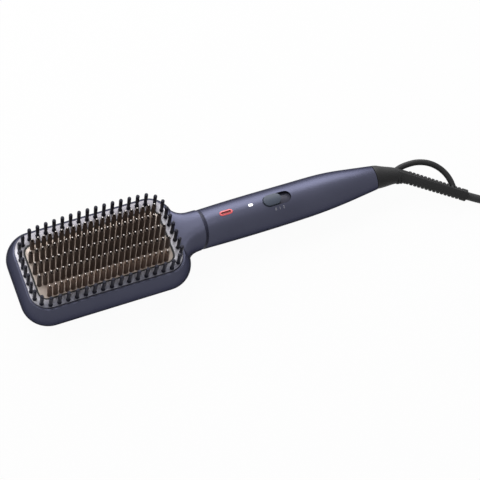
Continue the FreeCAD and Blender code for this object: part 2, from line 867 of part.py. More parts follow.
def cord_coil():
    place = coil_place()
    steps = 2 * coil_steps_per_layer
    times = [coil_turns * i / steps for i in range(steps + 1)]
    points = [place.multVec(coil_local(t)) for t in times]
    ways = [place.Rotation.multVec(coil_tangent(t)) for t in times]
    route = run_route()
    edges = [Part.makeLine(route[-1], points[0])]
    for i in range(steps):
        edges.extend(biarc(points[i], ways[i], points[i + 1], ways[i + 1]))
    edges.append(Part.makeLine(points[-1], coil_ends()[0]))
    path = Part.Wire(Part.__sortEdges__(edges))
    first = (route[-1] - route[-2]).normalize()
    tube = path.makePipeShell([cord_section(route[-1], first)], True, False)
    count = 1200
    samples = [coil_local(coil_turns * i / count) for i in range(count + 1)]
    half_turn = int(count / coil_turns / 2)
    least = min((samples[i] - samples[j]).Length for i in range(0, count + 1, 4)
                for j in range(i + half_turn, count + 1, 2))
    print("coil length", round(path.Length, 1), "least gap to itself", round(least - 2 * cord_radius, 2),
          "middle diameter", round(coil_inner + coil_outer, 1))
    return tube


def tail_route():
    start, way = coil_ends()
    left = Vec(0, 0, 1).cross(way)
    return [start] + [start + way * f + left * s + Vec(0, 0, rise) for f, s, rise in tail_points]


def cord_tie():
    """Strap round the turns of the coil, standing on the surface."""
    inner_x = coil_outer - coil_inner + 2 * (cord_radius + tie_gap)
    inner_z = coil_pitch + 2 * (cord_radius + tie_gap)
    middle = (coil_inner + coil_outer) / 2
    grow = 2 * tie_thickness
    half = tie_width / 2
    outer = rounded_block(inner_x + grow, inner_z + grow, tie_corner + tie_thickness, -half, half)
    strap = outer.cut(rounded_block(inner_x, inner_z, tie_corner, -half, half))
    strap.rotate(Vec(), Vec(1, 0, 0), 90)
    strap.translate(Vec(middle, 0, coil_pitch / 2))
    strap.rotate(Vec(), Vec(0, 0, 1), tie_place)
    strap.Placement = coil_place().multiply(strap.Placement)
    return strap


def plug_place():
    route = tail_route()
    way = route[-1] - route[-2]
    way.z = 0
    way.normalize()
    return FreeCAD.Placement(route[-1], FreeCAD.Rotation(way, Vec(0, 0, 1).cross(way), Vec(0, 0, 1), "XYZ"))


def plug_section(x, width, height, radius):
    wire = rounded_wire(height, width, radius, 0)
    wire.rotate(Vec(), Vec(0, 1, 0), 90)
    wire.translate(Vec(x, 0, 0))
    return wire


def plug_body():
    body = Part.makeLoft([plug_section(*s) for s in plug_stations], True, True)
    x, width, height, radius = plug_stations[-1]
    block = Part.Face(plug_section(x, width, height, radius)).extrude(Vec(plug_face - x, 0, 0))
    body = body.fuse(block).removeSplitter()
    body.Placement = plug_place()
    return body


def plug_pins():
    pins = []
    for side in (-1, 1):
        base = Vec(plug_face, side * plug_pin_spacing / 2, 0)
        pins.append(Part.makeCylinder(plug_pin_radius, plug_pin_length, base, Vec(1, 0, 0)))
    group = Part.makeCompound(pins)
    group.Placement = plug_place()
    return group


nodes = {
    "paddle_body": paddle_body(),
    "bristle_frame": bristle_frame(),
    "cool_bristles": cool_bristles(),
    "bristle_retainer": bristle_retainer(),
    "heat_plate": heat_plate(),
    "pin_caps": pin_caps(),
    "plate_seal": plate_seal(),
    "ptc_heaters": ptc_heaters(),
    "insulation_sheet": insulation_sheet(),
    "heater_clamp": heater_clamp(),
    "clamp_screws": clamp_screws(),
    "thermal_fuse": thermal_fuse(),
    "neck_ring": neck_ring(),
    "handle_shell": handle_shell(),
    "chassis": chassis(),
    "circuit_board": circuit_board(),
    "slide_switch": slide_switch(),
    "slide_knob": slide_knob(),
    "led_lamp": led_lamp(),
    "led_lens": led_lens(),
    "ion_module": ion_module(),
    "ion_needle": ion_needle(),
    "ion_outlet": ion_outlet(),
    "swivel_bush": swivel_bush(),
    "swivel_spindle": swivel_spindle(),
    "strain_relief": strain_relief(),
    "cord_run": cord_tube("cord_run", run_route()),
    "cord_coil": cord_coil(),
    "cord_tail": cord_tube("cord_tail", tail_route()),
    "cord_tie": cord_tie(),
    "plug_body": plug_body(),
    "plug_pins": plug_pins(),
}

os.makedirs("parts", exist_ok=True)
for name, shape in nodes.items():
    shape.exportStep("parts/" + name + ".step")
    b = shape.BoundBox
    print(name, shape.isValid(), len(shape.Solids), round(shape.Volume, 1),
          [round(v, 1) for v in (b.XMin, b.XMax, b.YMin, b.YMax, b.ZMin, b.ZMax)])
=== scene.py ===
# %% [markdown]
# # A heated hair straightening brush
# The solid model of the brush comes in as a fixed frame: every piece below is made in metres, in the
# place that the solids give, and covers or stands for one of them. The pieces follow the order in
# which a maker would put the brush together: casing, heated comb, bristles, handle, switch, cord.

# %% Load the solids
import math
import bmesh
import bpy
from mathutils import Matrix, Vector


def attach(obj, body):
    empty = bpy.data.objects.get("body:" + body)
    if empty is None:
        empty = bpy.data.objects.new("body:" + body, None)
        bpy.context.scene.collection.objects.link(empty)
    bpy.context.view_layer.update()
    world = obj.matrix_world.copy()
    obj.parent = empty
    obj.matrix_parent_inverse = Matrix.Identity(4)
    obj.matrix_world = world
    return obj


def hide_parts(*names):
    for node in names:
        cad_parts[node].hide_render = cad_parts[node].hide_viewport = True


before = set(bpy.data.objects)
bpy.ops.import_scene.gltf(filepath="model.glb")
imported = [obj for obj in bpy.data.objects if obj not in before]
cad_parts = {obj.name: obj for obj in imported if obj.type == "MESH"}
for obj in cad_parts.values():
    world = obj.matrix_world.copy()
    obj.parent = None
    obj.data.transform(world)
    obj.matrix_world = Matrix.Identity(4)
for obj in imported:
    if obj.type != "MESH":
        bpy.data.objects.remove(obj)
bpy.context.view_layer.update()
MM = 0.001

# %% [markdown]
# ## Camera
# The picture looks down on the brush from the front left, with a long lens and a slight turn of the
# frame. A camera can be turned by angles or by a target; here its three axes are worked out, because
# then the turn of the frame is one more angle and nothing has to be aimed.

# %% Camera at the picture's angle
azimuth, elevation, roll = (math.radians(v) for v in (-33.764, 63.654, 14.073))
focal_length, sensor_width, distance = 121.6, 36, 1200.25
back = Vector((math.sin(azimuth) * math.cos(elevation), -math.cos(azimuth) * math.cos(elevation),
               math.sin(elevation)))
level = Vector((math.cos(azimuth), math.sin(azimuth), 0))
upright = back.cross(level)
across = math.cos(roll) * level + math.sin(roll) * upright
upward = math.cos(roll) * upright - math.sin(roll) * level
middle_of_picture = Vector((106.55, -11.11, 0.9)) * MM
bpy.ops.object.camera_add()
camera = bpy.context.object
camera.data.lens = focal_length
camera.data.sensor_width = sensor_width
eye = middle_of_picture + back * (distance * MM)
camera.matrix_world = Matrix.Translation(eye) @ Matrix((across, upward, back)).transposed().to_4x4()
bpy.context.scene.camera = camera
bpy.context.scene.view_settings.view_transform = "Standard"
print("camera", [round(v, 3) for v in eye], "lens", camera.data.lens)

# %% [markdown]
# ## Shader arithmetic
# A finish is a small sum of noises, masks and colours. Wiring those by hand takes many lines, so one
# class wraps a socket: adding or multiplying two of them adds the Math node, and `node` adds any other.
# Most plain plastics are one colour with fine specks in it, so one function mixes all of those.


# %% A socket that can be added and multiplied
class Shade:
    """A socket of a node tree, or the start of a tree that has no socket yet."""

    def __init__(self, tree, socket=None):
        self.tree = tree
        self.socket = socket

    def node(self, kind, settings=None, sockets=None, output=0):
        """Adds a node: its settings first, then the values or links of its sockets."""
        made = self.tree.nodes.new(kind)
        for name, value in (settings or {}).items():
            setattr(made, name, value)
        for name, value in (sockets or {}).items():
            if isinstance(value, Shade):
                self.tree.links.new(value.socket, made.inputs[name])
            else:
                made.inputs[name].default_value = value
        return Shade(self.tree, made.outputs[output] if len(made.outputs) else None)

    def math(self, operation, first, second):
        return self.node("ShaderNodeMath", {"operation": operation}, {0: first, 1: second})

    def __add__(self, other):
        return self.math("ADD", self, other)

    def __radd__(self, other):
        return self.math("ADD", other, self)

    def __sub__(self, other):
        return self.math("SUBTRACT", self, other)

    def __rsub__(self, other):
        return self.math("SUBTRACT", other, self)

    def __mul__(self, other):
        return self.math("MULTIPLY", self, other)

    def __rmul__(self, other):
        return self.math("MULTIPLY", other, self)

    def __gt__(self, other):
        return self.math("GREATER_THAN", self, other)

    def mix(self, low, high):
        """Colour from low to high as this value runs from 0 to 1; a Mix node's colours are sockets 6, 7 and 2."""
        return self.node("ShaderNodeMix", {"data_type": "RGBA"}, {0: self, 6: low, 7: high}, 2)

    def between(self, low, high):
        """This value, from 0 to 1, spread over low to high."""
        return self * (high - low) + low

    def clamped(self):
        """This value, held between 0 and 1."""
        return self.node("ShaderNodeClamp", {}, {0: self})


# %% Opening and closing a finish
def new_finish(name):
    """An empty material and the start of its arithmetic."""
    material = bpy.data.materials.new(name)
    material.use_nodes = True
    material.node_tree.nodes.clear()
    return material, Shade(material.node_tree)


def close_finish(start, principled, bump=None):
    """Ends a material in a Principled shader, with an optional (height, strength, distance) bump."""
    sockets = dict(principled)
    if bump:
        names = ("Height", "Strength", "Distance")
        sockets["Normal"] = start.node("ShaderNodeBump", {}, dict(zip(names, bump)))
    shader = start.node("ShaderNodeBsdfPrincipled", {}, sockets)
    start.node("ShaderNodeOutputMaterial", {}, {"Surface": shader})


# %% Patterns on a piece
def noise(start, scale, detail=2.0, stretch=(1, 1, 1)):
    """Even noise from 0 to 1 on the piece's own coordinates."""
    place = start.node("ShaderNodeTexCoord", {}, {}, "Object")
    place = start.node("ShaderNodeMapping", {}, {"Vector": place, "Scale": stretch})
    return start.node("ShaderNodeTexNoise", {}, {"Vector": place, "Scale": scale, "Detail": detail})


def axis_value(start, axis):
    """The X, Y or Z of the piece's own coordinates, in metres."""
    place = start.node("ShaderNodeTexCoord", {}, {}, "Object")
    return start.node("ShaderNodeSeparateXYZ", {}, {0: place}, axis)


fine_bump = 0.05 * MM


def speckled(name, dark, light, roughness, scale, detail=2.0, strength=0.05, height=fine_bump,
             stretch=(1, 1, 1), others=None):
    """Finish whose fine specks run from a dark to a light tone and raise the surface a little."""
    finish, start = new_finish(name)
    specks = noise(start, scale, detail, stretch)
    sockets = {"Base Color": specks.mix((*dark, 1), (*light, 1)), "Roughness": specks.between(*roughness)}
    close_finish(start, {**sockets, **(others or {})}, (specks, strength, height) if strength else None)
    return finish


print("shader arithmetic ready, fine bump in mm:", fine_bump / MM)

# %% [markdown]
# ## Floor, backdrop and lamps
# The brush lies on a white sweep. The floor and the world are white to the camera, in mirrors and through
# clear pieces, while they light the brush less than that, so the lamps shape it. Part of the floor still
# answers to the lamps, so the brush keeps a soft shadow.


# %% White floor
def seen_straight(start):
    """1 for what the camera sees, straight, mirrored or through a clear piece, 0 for light on a surface."""
    rays = [start.node("ShaderNodeLightPath", {}, {}, "Is " + way + " Ray")
            for way in ("Camera", "Glossy", "Transmission")]
    return rays[0] + rays[1] + rays[2]


floor_size, floor_gap, floor_glow = 8, 0.3, 0.96
bpy.ops.object.select_all(action="DESELECT")
bpy.ops.mesh.primitive_plane_add(size=floor_size, location=(0, 0, -floor_gap * MM))
floor = bpy.context.object
floor.name = "floor"
floor_paint, start = new_finish("white_sweep")
paper = start.node("ShaderNodeBsdfDiffuse", {}, {"Color": (0.6, 0.6, 0.6, 1)})
glow = start.node("ShaderNodeEmission", {}, {"Color": (1, 1, 1, 1), "Strength": 1.0})
lit = start.node("ShaderNodeMixShader", {}, {0: seen_straight(start) * floor_glow, 1: paper, 2: glow})
start.node("ShaderNodeOutputMaterial", {}, {"Surface": lit})
floor.data.materials.append(floor_paint)
print("floor", floor.dimensions[:2])

# %% World and lamps
world = bpy.data.worlds.new("studio")
bpy.context.scene.world = world
world.use_nodes = True
world.node_tree.nodes.clear()
start = Shade(world.node_tree)
sky_light = 0.3
brightness = seen_straight(start).between(sky_light, 1)
sky = start.node("ShaderNodeBackground", {}, {"Color": (1, 1, 1, 1), "Strength": brightness})
start.node("ShaderNodeOutputWorld", {}, {"Surface": sky})


def lamp(name, place, aim, size, power):
    """Soft square lamp that points at a spot, sizes in metres and power in watts."""
    bpy.ops.object.light_add(type="AREA", location=place)
    light = bpy.context.object
    light.name = name
    light.data.shape = "SQUARE"
    light.data.size = size
    light.data.energy = power
    way = Vector(aim) - Vector(place)
    light.rotation_mode = "QUATERNION"
    light.rotation_quaternion = way.to_track_quat("-Z", "Y")
    return light


lamps = [lamp("key", (0.45, 1.12, 0.70), (0.08, 0, 0), 1.15, 22.5),
         lamp("over", (0.1, 0.0, 1.4), (0.05, 0, 0), 0.2, 1.5),
         lamp("back", (-0.14, 0.71, 1.08), (0.06, 0, 0), 0.4, 3.7),
         lamp("left", (-0.75, 0.55, 0.75), (0, 0, 0), 0.5, 6.0)]
print("lamps:", [(light.name, light.data.energy) for light in lamps])

# %% [markdown]
# ## Finishes of the casing and the surround
# The casing and the handle wear a dark slate lacquer with fine metal flakes under a satin top coat.
# A flake could be modelled one by one; a fine noise that lightens the colour does the same at this size.
# The surround of the bristles is a pale pearl grey of the same kind. Its colour is painted darker along both
# of its long sides than at its ends: painted shadow on the near side, painted shade on the far side, and
# painted light on the two ends.

# %% Slate lacquer
slate, start = new_finish("slate_lacquer")
flakes = noise(start, 5200, 1.0)
clouds = noise(start, 38, 3.0)
tone = flakes * 0.35 + clouds * 0.65
colour = tone.mix((0.0528, 0.0548, 0.0818, 1), (0.0752, 0.0779, 0.1142, 1))
close_finish(start, {"Base Color": colour, "Metallic": 0.8, "Roughness": flakes.between(0.38, 0.46),
                     "Specular IOR Level": 0.05, "Specular Tint": (0.1, 0.1, 0.14, 1)},
             (flakes, 0.03, fine_bump))
print(slate.name, "nodes", len(slate.node_tree.nodes))

# %% Pearl surround
pearl, start = new_finish("pearl_surround")
flakes = noise(start, 4200, 1.0)
clouds = noise(start, 55, 2.0)
# Painted light and shade by place across the brush: the near strip is painted darkest, as the shadow of the pins
# and bristles, the far strip darker as painted shade, and the two ends lighter as painted light.
near_line, far_line, fade = -26.0 * MM, 18.0 * MM, 160
away = axis_value(start, "Y")
tone = flakes * 0.5 + clouds * 0.5
near_painted_shadow = tone.mix((0.145, 0.145, 0.185, 1), (0.18, 0.18, 0.22, 1))
ends_painted_light = tone.mix((0.40, 0.39, 0.43, 1), (0.48, 0.47, 0.51, 1))
far_painted_shade = tone.mix((0.175, 0.165, 0.185, 1), (0.215, 0.205, 0.23, 1))
colour = ((away - near_line) * fade).clamped().mix(near_painted_shadow, ends_painted_light)
colour = ((away - far_line) * fade).clamped().mix(colour, far_painted_shade)
close_finish(start, {"Base Color": colour, "Metallic": 0.35, "Roughness": flakes.between(0.36, 0.46)},
             (flakes, 0.04, fine_bump))
print(pearl.name, "nodes", len(pearl.node_tree.nodes))

# %% [markdown]
# ## Ways of working on a mesh
# Each piece starts as a primitive and is shaped in edit mode. An operator acts on all that is selected,
# so these helpers clear the selection first and then pick vertices, edges or faces by their place.


# %% Selecting
def clear():
    """Leaves edit mode and deselects every object."""
    if bpy.context.object and bpy.context.object.mode != "OBJECT":
        bpy.ops.object.mode_set(mode="OBJECT")
    bpy.ops.object.select_all(action="DESELECT")


def take(piece):
    """Makes one piece the selected and active one."""
    clear()
    piece.select_set(True)
    bpy.context.view_layer.objects.active = piece
    return piece


def pick(kind, test):
    """Selects vertices, edges or faces of the mesh in edit mode whose middle, in mm, passes the test."""
    piece = bpy.context.object
    bpy.ops.mesh.select_mode(type=kind)
    bpy.ops.mesh.select_all(action="DESELECT")
    mesh = bmesh.from_edit_mesh(piece.data)
    count = 0
    for part in {"VERT": mesh.verts, "EDGE": mesh.edges, "FACE": mesh.faces}[kind]:
        corners = [part] if kind == "VERT" else part.verts
        spot = sum((piece.matrix_world @ v.co for v in corners), Vector()) / (len(corners) * MM)
        if test(spot, part):
            part.select_set(True)
            count += 1
    bmesh.update_edit_mesh(piece.data)
    return count


# %% Modifying, cutting and joining
def modify(piece, kind, **settings):
    """Adds a modifier with its settings and applies it."""
    take(piece)
    modifier = piece.modifiers.new(kind.lower(), kind)
    for name, value in settings.items():
        setattr(modifier, name, value)
    bpy.ops.object.modifier_apply(modifier=modifier.name)
    return piece


def cut(piece, cutter, operation="DIFFERENCE"):
    """Cuts a piece with another one, or joins or crosses them, and removes the cutter."""
    modify(piece, "BOOLEAN", object=cutter, operation=operation, solver="EXACT")
    bpy.data.objects.remove(cutter)
    return piece


def soften(piece, width, segments, angle):
    """Bevels the edges of a piece that are sharper than an angle, width in mm."""
    return modify(piece, "BEVEL", width=width * MM, segments=segments, limit_method="ANGLE",
                  angle_limit=math.radians(angle))


def join(pieces):
    """Joins several pieces into the first one."""
    clear()
    for piece in pieces:
        piece.select_set(True)
    bpy.context.view_layer.objects.active = pieces[0]
    bpy.ops.object.join()
    return bpy.context.object


# %% Settling a finished piece
def apply_place():
    """Puts the place, turn and scale of the selected piece into its mesh."""
    bpy.ops.object.transform_apply(location=True, rotation=True, scale=True)
    return bpy.context.object


def settle(piece, name, finish, slot, body, *stands_for, angle=35):
    """Puts a piece's place into its mesh, shades it, paints it and sets it on the body that carries it."""
    take(piece)
    apply_place()
    bpy.ops.object.shade_smooth_by_angle(angle=math.radians(angle))
    piece.name = piece.data.name = name
    piece.data.materials.clear()
    piece.data.materials.append(finish)
    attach(piece, body)
    if stands_for:
        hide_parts(*stands_for)
    size = [round(v / MM, 1) for v in piece.dimensions]
    print(name, "faces", len(piece.data.polygons), "size in mm", size)
    return piece


def paint(piece, finish, test):
    """Gives a second finish to the faces of a piece that pass the test on a face and its middle, in mm."""
    piece.data.materials.append(finish)
    for face in piece.data.polygons:
        if test(face, face.center / MM):
            face.material_index = 1


def double(piece):
    """Copy of a piece, with a mesh of its own."""
    copy = piece.copy()
    copy.data = piece.data.copy()
    bpy.context.collection.objects.link(copy)
    return copy


# %% Shapes to start from
def rounded_face(length, width, corner, z, steps=10, down=False):
    """Starts a piece as a flat face with round corners, selected in edit mode."""
    clear()
    bpy.ops.mesh.primitive_plane_add(size=1, location=(0, 0, z * MM), rotation=(math.pi if down else 0, 0, 0))
    bpy.ops.object.mode_set(mode="EDIT")
    bpy.ops.transform.resize(value=(length * MM, width * MM, 1))
    bpy.ops.mesh.select_mode(type="VERT")
    bpy.ops.mesh.bevel(offset=corner * MM, segments=steps, affect="VERTICES")
    bpy.ops.mesh.select_mode(type="FACE")
    bpy.ops.mesh.select_all(action="SELECT")
    return bpy.context.object


def raise_face(height):
    """Extrudes the selected face upwards, in mm."""
    bpy.ops.mesh.extrude_region_move(TRANSFORM_OT_translate={"value": (0, 0, height * MM)})


def outward():
    """Merges doubled vertices, turns all faces outwards and puts the place into the mesh."""
    bpy.ops.mesh.select_all(action="SELECT")
    bpy.ops.mesh.remove_doubles(threshold=0.004 * MM)
    bpy.ops.mesh.normals_make_consistent(inside=False)
    bpy.ops.object.mode_set(mode="OBJECT")
    return apply_place()


def rounded_block(length, width, corner, low, high, steps=10):
    """Upright block with round corners, from one level to another."""
    rounded_face(length, width, corner, low, steps)
    raise_face(high - low)
    return outward()


def block(size, place):
    """Upright block about a place, in mm."""
    clear()
    bpy.ops.mesh.primitive_cube_add(size=1, location=[v * MM for v in place])
    piece = bpy.context.object
    piece.scale = [v * MM for v in size]
    return piece


along_x = (0, math.pi / 2, 0)


def rod(sides, radius, length, place, ends="NGON"):
    """Cylinder along X about a place, in mm."""
    clear()
    bpy.ops.mesh.primitive_cylinder_add(vertices=sides, radius=radius * MM, depth=length * MM, rotation=along_x,
                                        end_fill_type=ends, location=[v * MM for v in place])
    return bpy.context.object


def rings_along_x(stations, height, sides):
    """Tube closed at both ends through rings given as (place, half width, half height, lift), in mm."""
    clear()
    x, wide, tall, lift = stations[0]
    bpy.ops.mesh.primitive_circle_add(vertices=sides, radius=MM, fill_type="NGON", rotation=along_x,
                                      location=(x * MM, 0, (height + lift) * MM))
    bpy.ops.object.mode_set(mode="EDIT")
    bpy.ops.transform.resize(value=(1, wide, tall))
    for (x0, w0, t0, l0), (x1, w1, t1, l1) in zip(stations, stations[1:]):
        step = ((x1 - x0) * MM, 0, (l1 - l0) * MM)
        bpy.ops.mesh.extrude_region_move(TRANSFORM_OT_translate={"value": step})
        bpy.ops.transform.resize(value=(1, w1 / w0, t1 / t0))
    return outward()


print("helpers ready")

# %% [markdown]
# ## Casing of the paddle
# The casing is a soft pillow with a round neck that flares out of its end. Insetting a flat face step by
# step gives the swelling side, once up and once down from its widest line. The neck is a row of rings.
# A fine remesh then melts the two together with a small fillet, as a moulded shell has.

# %% Pillow of the casing
paddle = (127.2, 72.4)
corner, corner_steps, belly, depth, rim_inset, rim_wall = 20.0, 14, 11.5, 25.4, 5.1, 1.5
axis_height = 15.0
rise = depth - belly
high_radius = (rim_inset ** 2 + rise ** 2) / (2 * rim_inset)
spare = 1.2  # stands above the rim and is cut off after the remesh, which leaves the rim crisp
top_angle = math.asin((rise + spare) / high_radius)


def inset_along(radius, turn, steps=9):
    """Insets and lifts the selected face along an arc that starts upright."""
    for i in range(steps):
        a, b = turn * i / steps, turn * (i + 1) / steps
        bpy.ops.mesh.inset(thickness=radius * (math.cos(a) - math.cos(b)) * MM,
                           depth=radius * (math.sin(b) - math.sin(a)) * MM)


upper = rounded_face(*paddle, corner, belly, corner_steps)
inset_along(high_radius, top_angle)
lower = rounded_face(*paddle, corner, belly, corner_steps, down=True)
inset_along(belly, math.pi / 2)
casing = join([upper, lower])
bpy.ops.object.mode_set(mode="EDIT")
outward()
print("pillow", [round(v / MM, 1) for v in casing.dimensions])


# %% Neck, melted into the pillow
neck_radius, neck_end, root_depth, shoulder = 14.6, 80.0, 6.0, 7.1
neck_drop, neck_lift, neck_rings, neck_sides = 4.6, 2.4, 12, 64
root = paddle[0] / 2 - root_depth
flare = paddle[1] / 2 - shoulder - neck_radius
remesh_size, melting_steps = 0.62, 6


def neck_width(left):
    """Half width of the neck where a share of its length is left to the handle."""
    return neck_radius + flare * left ** 4.5


def neck_top(left):
    """Height of the neck's back over the handle's axis; it falls towards the paddle."""
    return neck_radius - neck_drop * left ** 1.3


stations = []
for i in range(neck_rings + 1):
    left = 1 - i / neck_rings
    top, bottom = neck_top(left), -neck_radius + neck_lift * left ** 2
    stations.append((root + (neck_end - root) * (1 - left), neck_width(left),
                     (top - bottom) / 2, (top + bottom) / 2))
neck = rings_along_x(stations, axis_height, neck_sides)
for vert in neck.data.vertices:
    x, y, z = vert.co / MM
    if z > axis_height:
        left = max(0, (neck_end - x) / (neck_end - root))
        share = abs(y / neck_width(left))
        round_height = math.sqrt(max(0, 1 - share ** 2))
        flat_height = max(0, 1 - share ** (2 + 2.4 * left ** 0.4)) ** 0.5
        vert.co.z += neck_top(left) * (flat_height - round_height) * MM
cut(casing, neck, "UNION")
take(casing).data.remesh_voxel_size = remesh_size * MM
bpy.ops.object.voxel_remesh()
modify(casing, "SMOOTH", factor=0.5, iterations=melting_steps)
print("casing remeshed to", len(casing.data.polygons), "faces")

# %% Hollow for the comb, and the slanting joint to the handle
joint_place, joint_lean = 74.85, 0.24
joint_way = Vector((1, 0, -joint_lean)).normalized()
inset = rim_inset + rim_wall
far_lip, hollow_floor = 1.15, 2.0
hollow = rounded_block(paddle[0] - 2 * inset, paddle[1] - 2 * inset + far_lip, corner - inset,
                       hollow_floor, depth + 3)
hollow.data.transform(Matrix.Translation((0, far_lip / 2 * MM, 0)))
trim_middle, trim_length, trim_width, trim_height = -3.6, 126, 100, 10
cut(casing, block((trim_length, trim_width, trim_height), (trim_middle, 0, depth + trim_height / 2)))
cut(casing, hollow)
take(casing)
bpy.ops.object.mode_set(mode="EDIT")
bpy.ops.mesh.select_all(action="SELECT")
bpy.ops.mesh.bisect(plane_co=(joint_place * MM, 0, axis_height * MM), plane_no=joint_way,
                    use_fill=True, clear_outer=True)
bpy.ops.object.mode_set(mode="OBJECT")
casing = settle(casing, "casing", slate, "casing", "brush", "paddle_body", angle=40)

# %% [markdown]
# ## Surround of the bristles
# A pale moulded frame closes the casing round the heated plate. It is a flat block with round corners,
# cut open in the middle, with its edges broken so that they catch the light. On the near side it leaves a
# narrow seam to the casing, which shows as a dark line; a real gap does this better than a painted one.

# %% Surround
frame_length, frame_width, frame_corner, frame_under = 113.8, 59.0, 13.3, 23.4
opening_length, opening_width, opening_corner = 102.4, 44.8, 7.2
near_seam = 0.65
surround = rounded_block(frame_length, frame_width + far_lip - near_seam, frame_corner, frame_under, depth)
surround.data.transform(Matrix.Translation((0, (far_lip + near_seam) / 2 * MM, 0)))
cut(surround, rounded_block(opening_length, opening_width, opening_corner, frame_under - 0.4, depth + 1))
soften(surround, 0.35, 3, 50)
settle(surround, "surround", pearl, "surround", "brush", "bristle_frame")

# %% [markdown]
# ## Heated comb
# Under the hair lies a flat plate with five rows of pins, coated in a warm ceramic. Dark caps sit on the pins,
# so that the hot metal never meets the scalp; the flat top of each cap has a polished metal patch, a painted
# highlight for the glint on its tip. One pin and one cap are modelled; an array makes a row, and each row gets
# its own height, because the tips lie on a crown that falls off to all sides.

# %% Ceramic plate
ceramic, start = new_finish("ceramic_plate")
specks = noise(start, 2600, 2.0)
clouds = noise(start, 60, 2.0)
tone = specks * 0.4 + clouds * 0.6
# The plate is painted darker where the pins stand than at its two open ends: painted shade between the pins.
open_ends = tone.mix((0.54, 0.45, 0.39, 1), (0.63, 0.54, 0.475, 1))
pin_field_painted_shade = tone.mix((0.36, 0.28, 0.235, 1), (0.44, 0.35, 0.295, 1))
last_pins, fade = 44.0 * MM, 300
from_middle = start.math("ABSOLUTE", axis_value(start, "X"), 0)
at_end = ((from_middle - last_pins) * fade).clamped()
close_finish(start, {"Base Color": at_end.mix(pin_field_painted_shade, open_ends), "Metallic": 0.25,
                     "Roughness": specks.between(0.32, 0.48)}, (specks, 0.06, fine_bump))
plate_length, plate_width, plate_corner, plate_under, plate_top = 100.0, 42.4, 6.0, 22.0, 25.0
plate = rounded_block(plate_length, plate_width, plate_corner, plate_under, plate_top)
soften(plate, 0.4, 2, 50)
settle(plate, "plate", ceramic, "ceramic_plate", "brush", "heat_plate")


# %% Finishes of pins and caps
def painted_light_row(start):
    """1 on the row of pins nearest to the front, where pins and caps get a painted light, 0 on the others."""
    between_rows = 14.5 * MM
    return axis_value(start, "Y") * -1 > between_rows


# The pins and caps of the front row get lighter, more copper tones than the rows behind: painted light on the row
# that nothing in front shades, and painted shade on the rows behind it.
bronze, start = new_finish("bronze_pins")
specks = noise(start, 1800)
others = specks.mix((0.110, 0.084, 0.071, 1), (0.165, 0.128, 0.110, 1))
front_row_painted_light = specks.mix((0.14, 0.090, 0.067, 1), (0.205, 0.136, 0.101, 1))
close_finish(start, {"Base Color": painted_light_row(start).mix(others, front_row_painted_light), "Metallic": 0.35,
                     "Roughness": specks.between(0.38, 0.5), "Specular IOR Level": 0.15},
             (specks, 0.05, fine_bump))
cap_brown, start = new_finish("cap_brown")
specks = noise(start, 2400)
others = specks.mix((0.014, 0.010, 0.009, 1), (0.024, 0.018, 0.015, 1))
front_row_painted_light = specks.mix((0.060, 0.038, 0.028, 1), (0.090, 0.058, 0.043, 1))
close_finish(start, {"Base Color": painted_light_row(start).mix(others, front_row_painted_light),
                     "Roughness": specks.between(0.2, 0.3), "Specular IOR Level": 0.3},
             (specks, 0.04, fine_bump))
# Painted highlight: a polished metal patch for the flat top of each cap, which shines by reflection as the glint
# on the tip.
tip_painted_highlight = speckled("polished_tip_painted_highlight", (0.32, 0.295, 0.28), (0.40, 0.375, 0.36), (0.25, 0.35), 3000, 1.0, 0.02,
                others={"Metallic": 1.0})
print(bronze.name, cap_brown.name, tip_painted_highlight.name)


# %% One pin and one cap
def turned_piece(profile, sides, oval=1.0):
    """Upright turned piece through circles given as (height, radius), in mm, from the bottom up."""
    clear()
    bpy.ops.mesh.primitive_circle_add(vertices=sides, radius=profile[0][1] * MM, fill_type="NGON",
                                      location=(0, 0, profile[0][0] * MM))
    bpy.ops.object.mode_set(mode="EDIT")
    for (z0, r0), (z1, r1) in zip(profile, profile[1:]):
        raise_face(z1 - z0)
        bpy.ops.transform.resize(value=(r1 / r0, r1 / r0, 1))
    bpy.ops.mesh.select_all(action="SELECT")
    bpy.ops.transform.resize(value=(oval, 1 / oval, 1))
    return outward()


pin_height, pin_sides, cap_sides = 20.2, 12, 10
tip = depth + pin_height
pin = turned_piece([(plate_top - 0.4, 1.7), (plate_top + 0.3, 1.62), (tip - 3.6, 1.56), (tip - 2.7, 1.25)],
                   pin_sides, oval=1.1)
cap = turned_piece([(tip - 3.0, 1.14), (tip - 1.5, 1.1), (tip - 0.7, 0.88), (tip - 0.2, 0.6), (tip, 0.42)],
                   cap_sides)
print("pin faces", len(pin.data.polygons), "cap faces", len(cap.data.polygons))


# %% Rows of pins and caps
pin_pitch, side_drop, end_drop, far_row_drop, pin_foot = 4.355, 1.8, 2.6, 1.8, 30
half_row, row_gap = 11, 9.6
outer_rows = {-2: (21, -10.0), 2: (22, -10.07)}  # pins in the row, and its first place in pitches


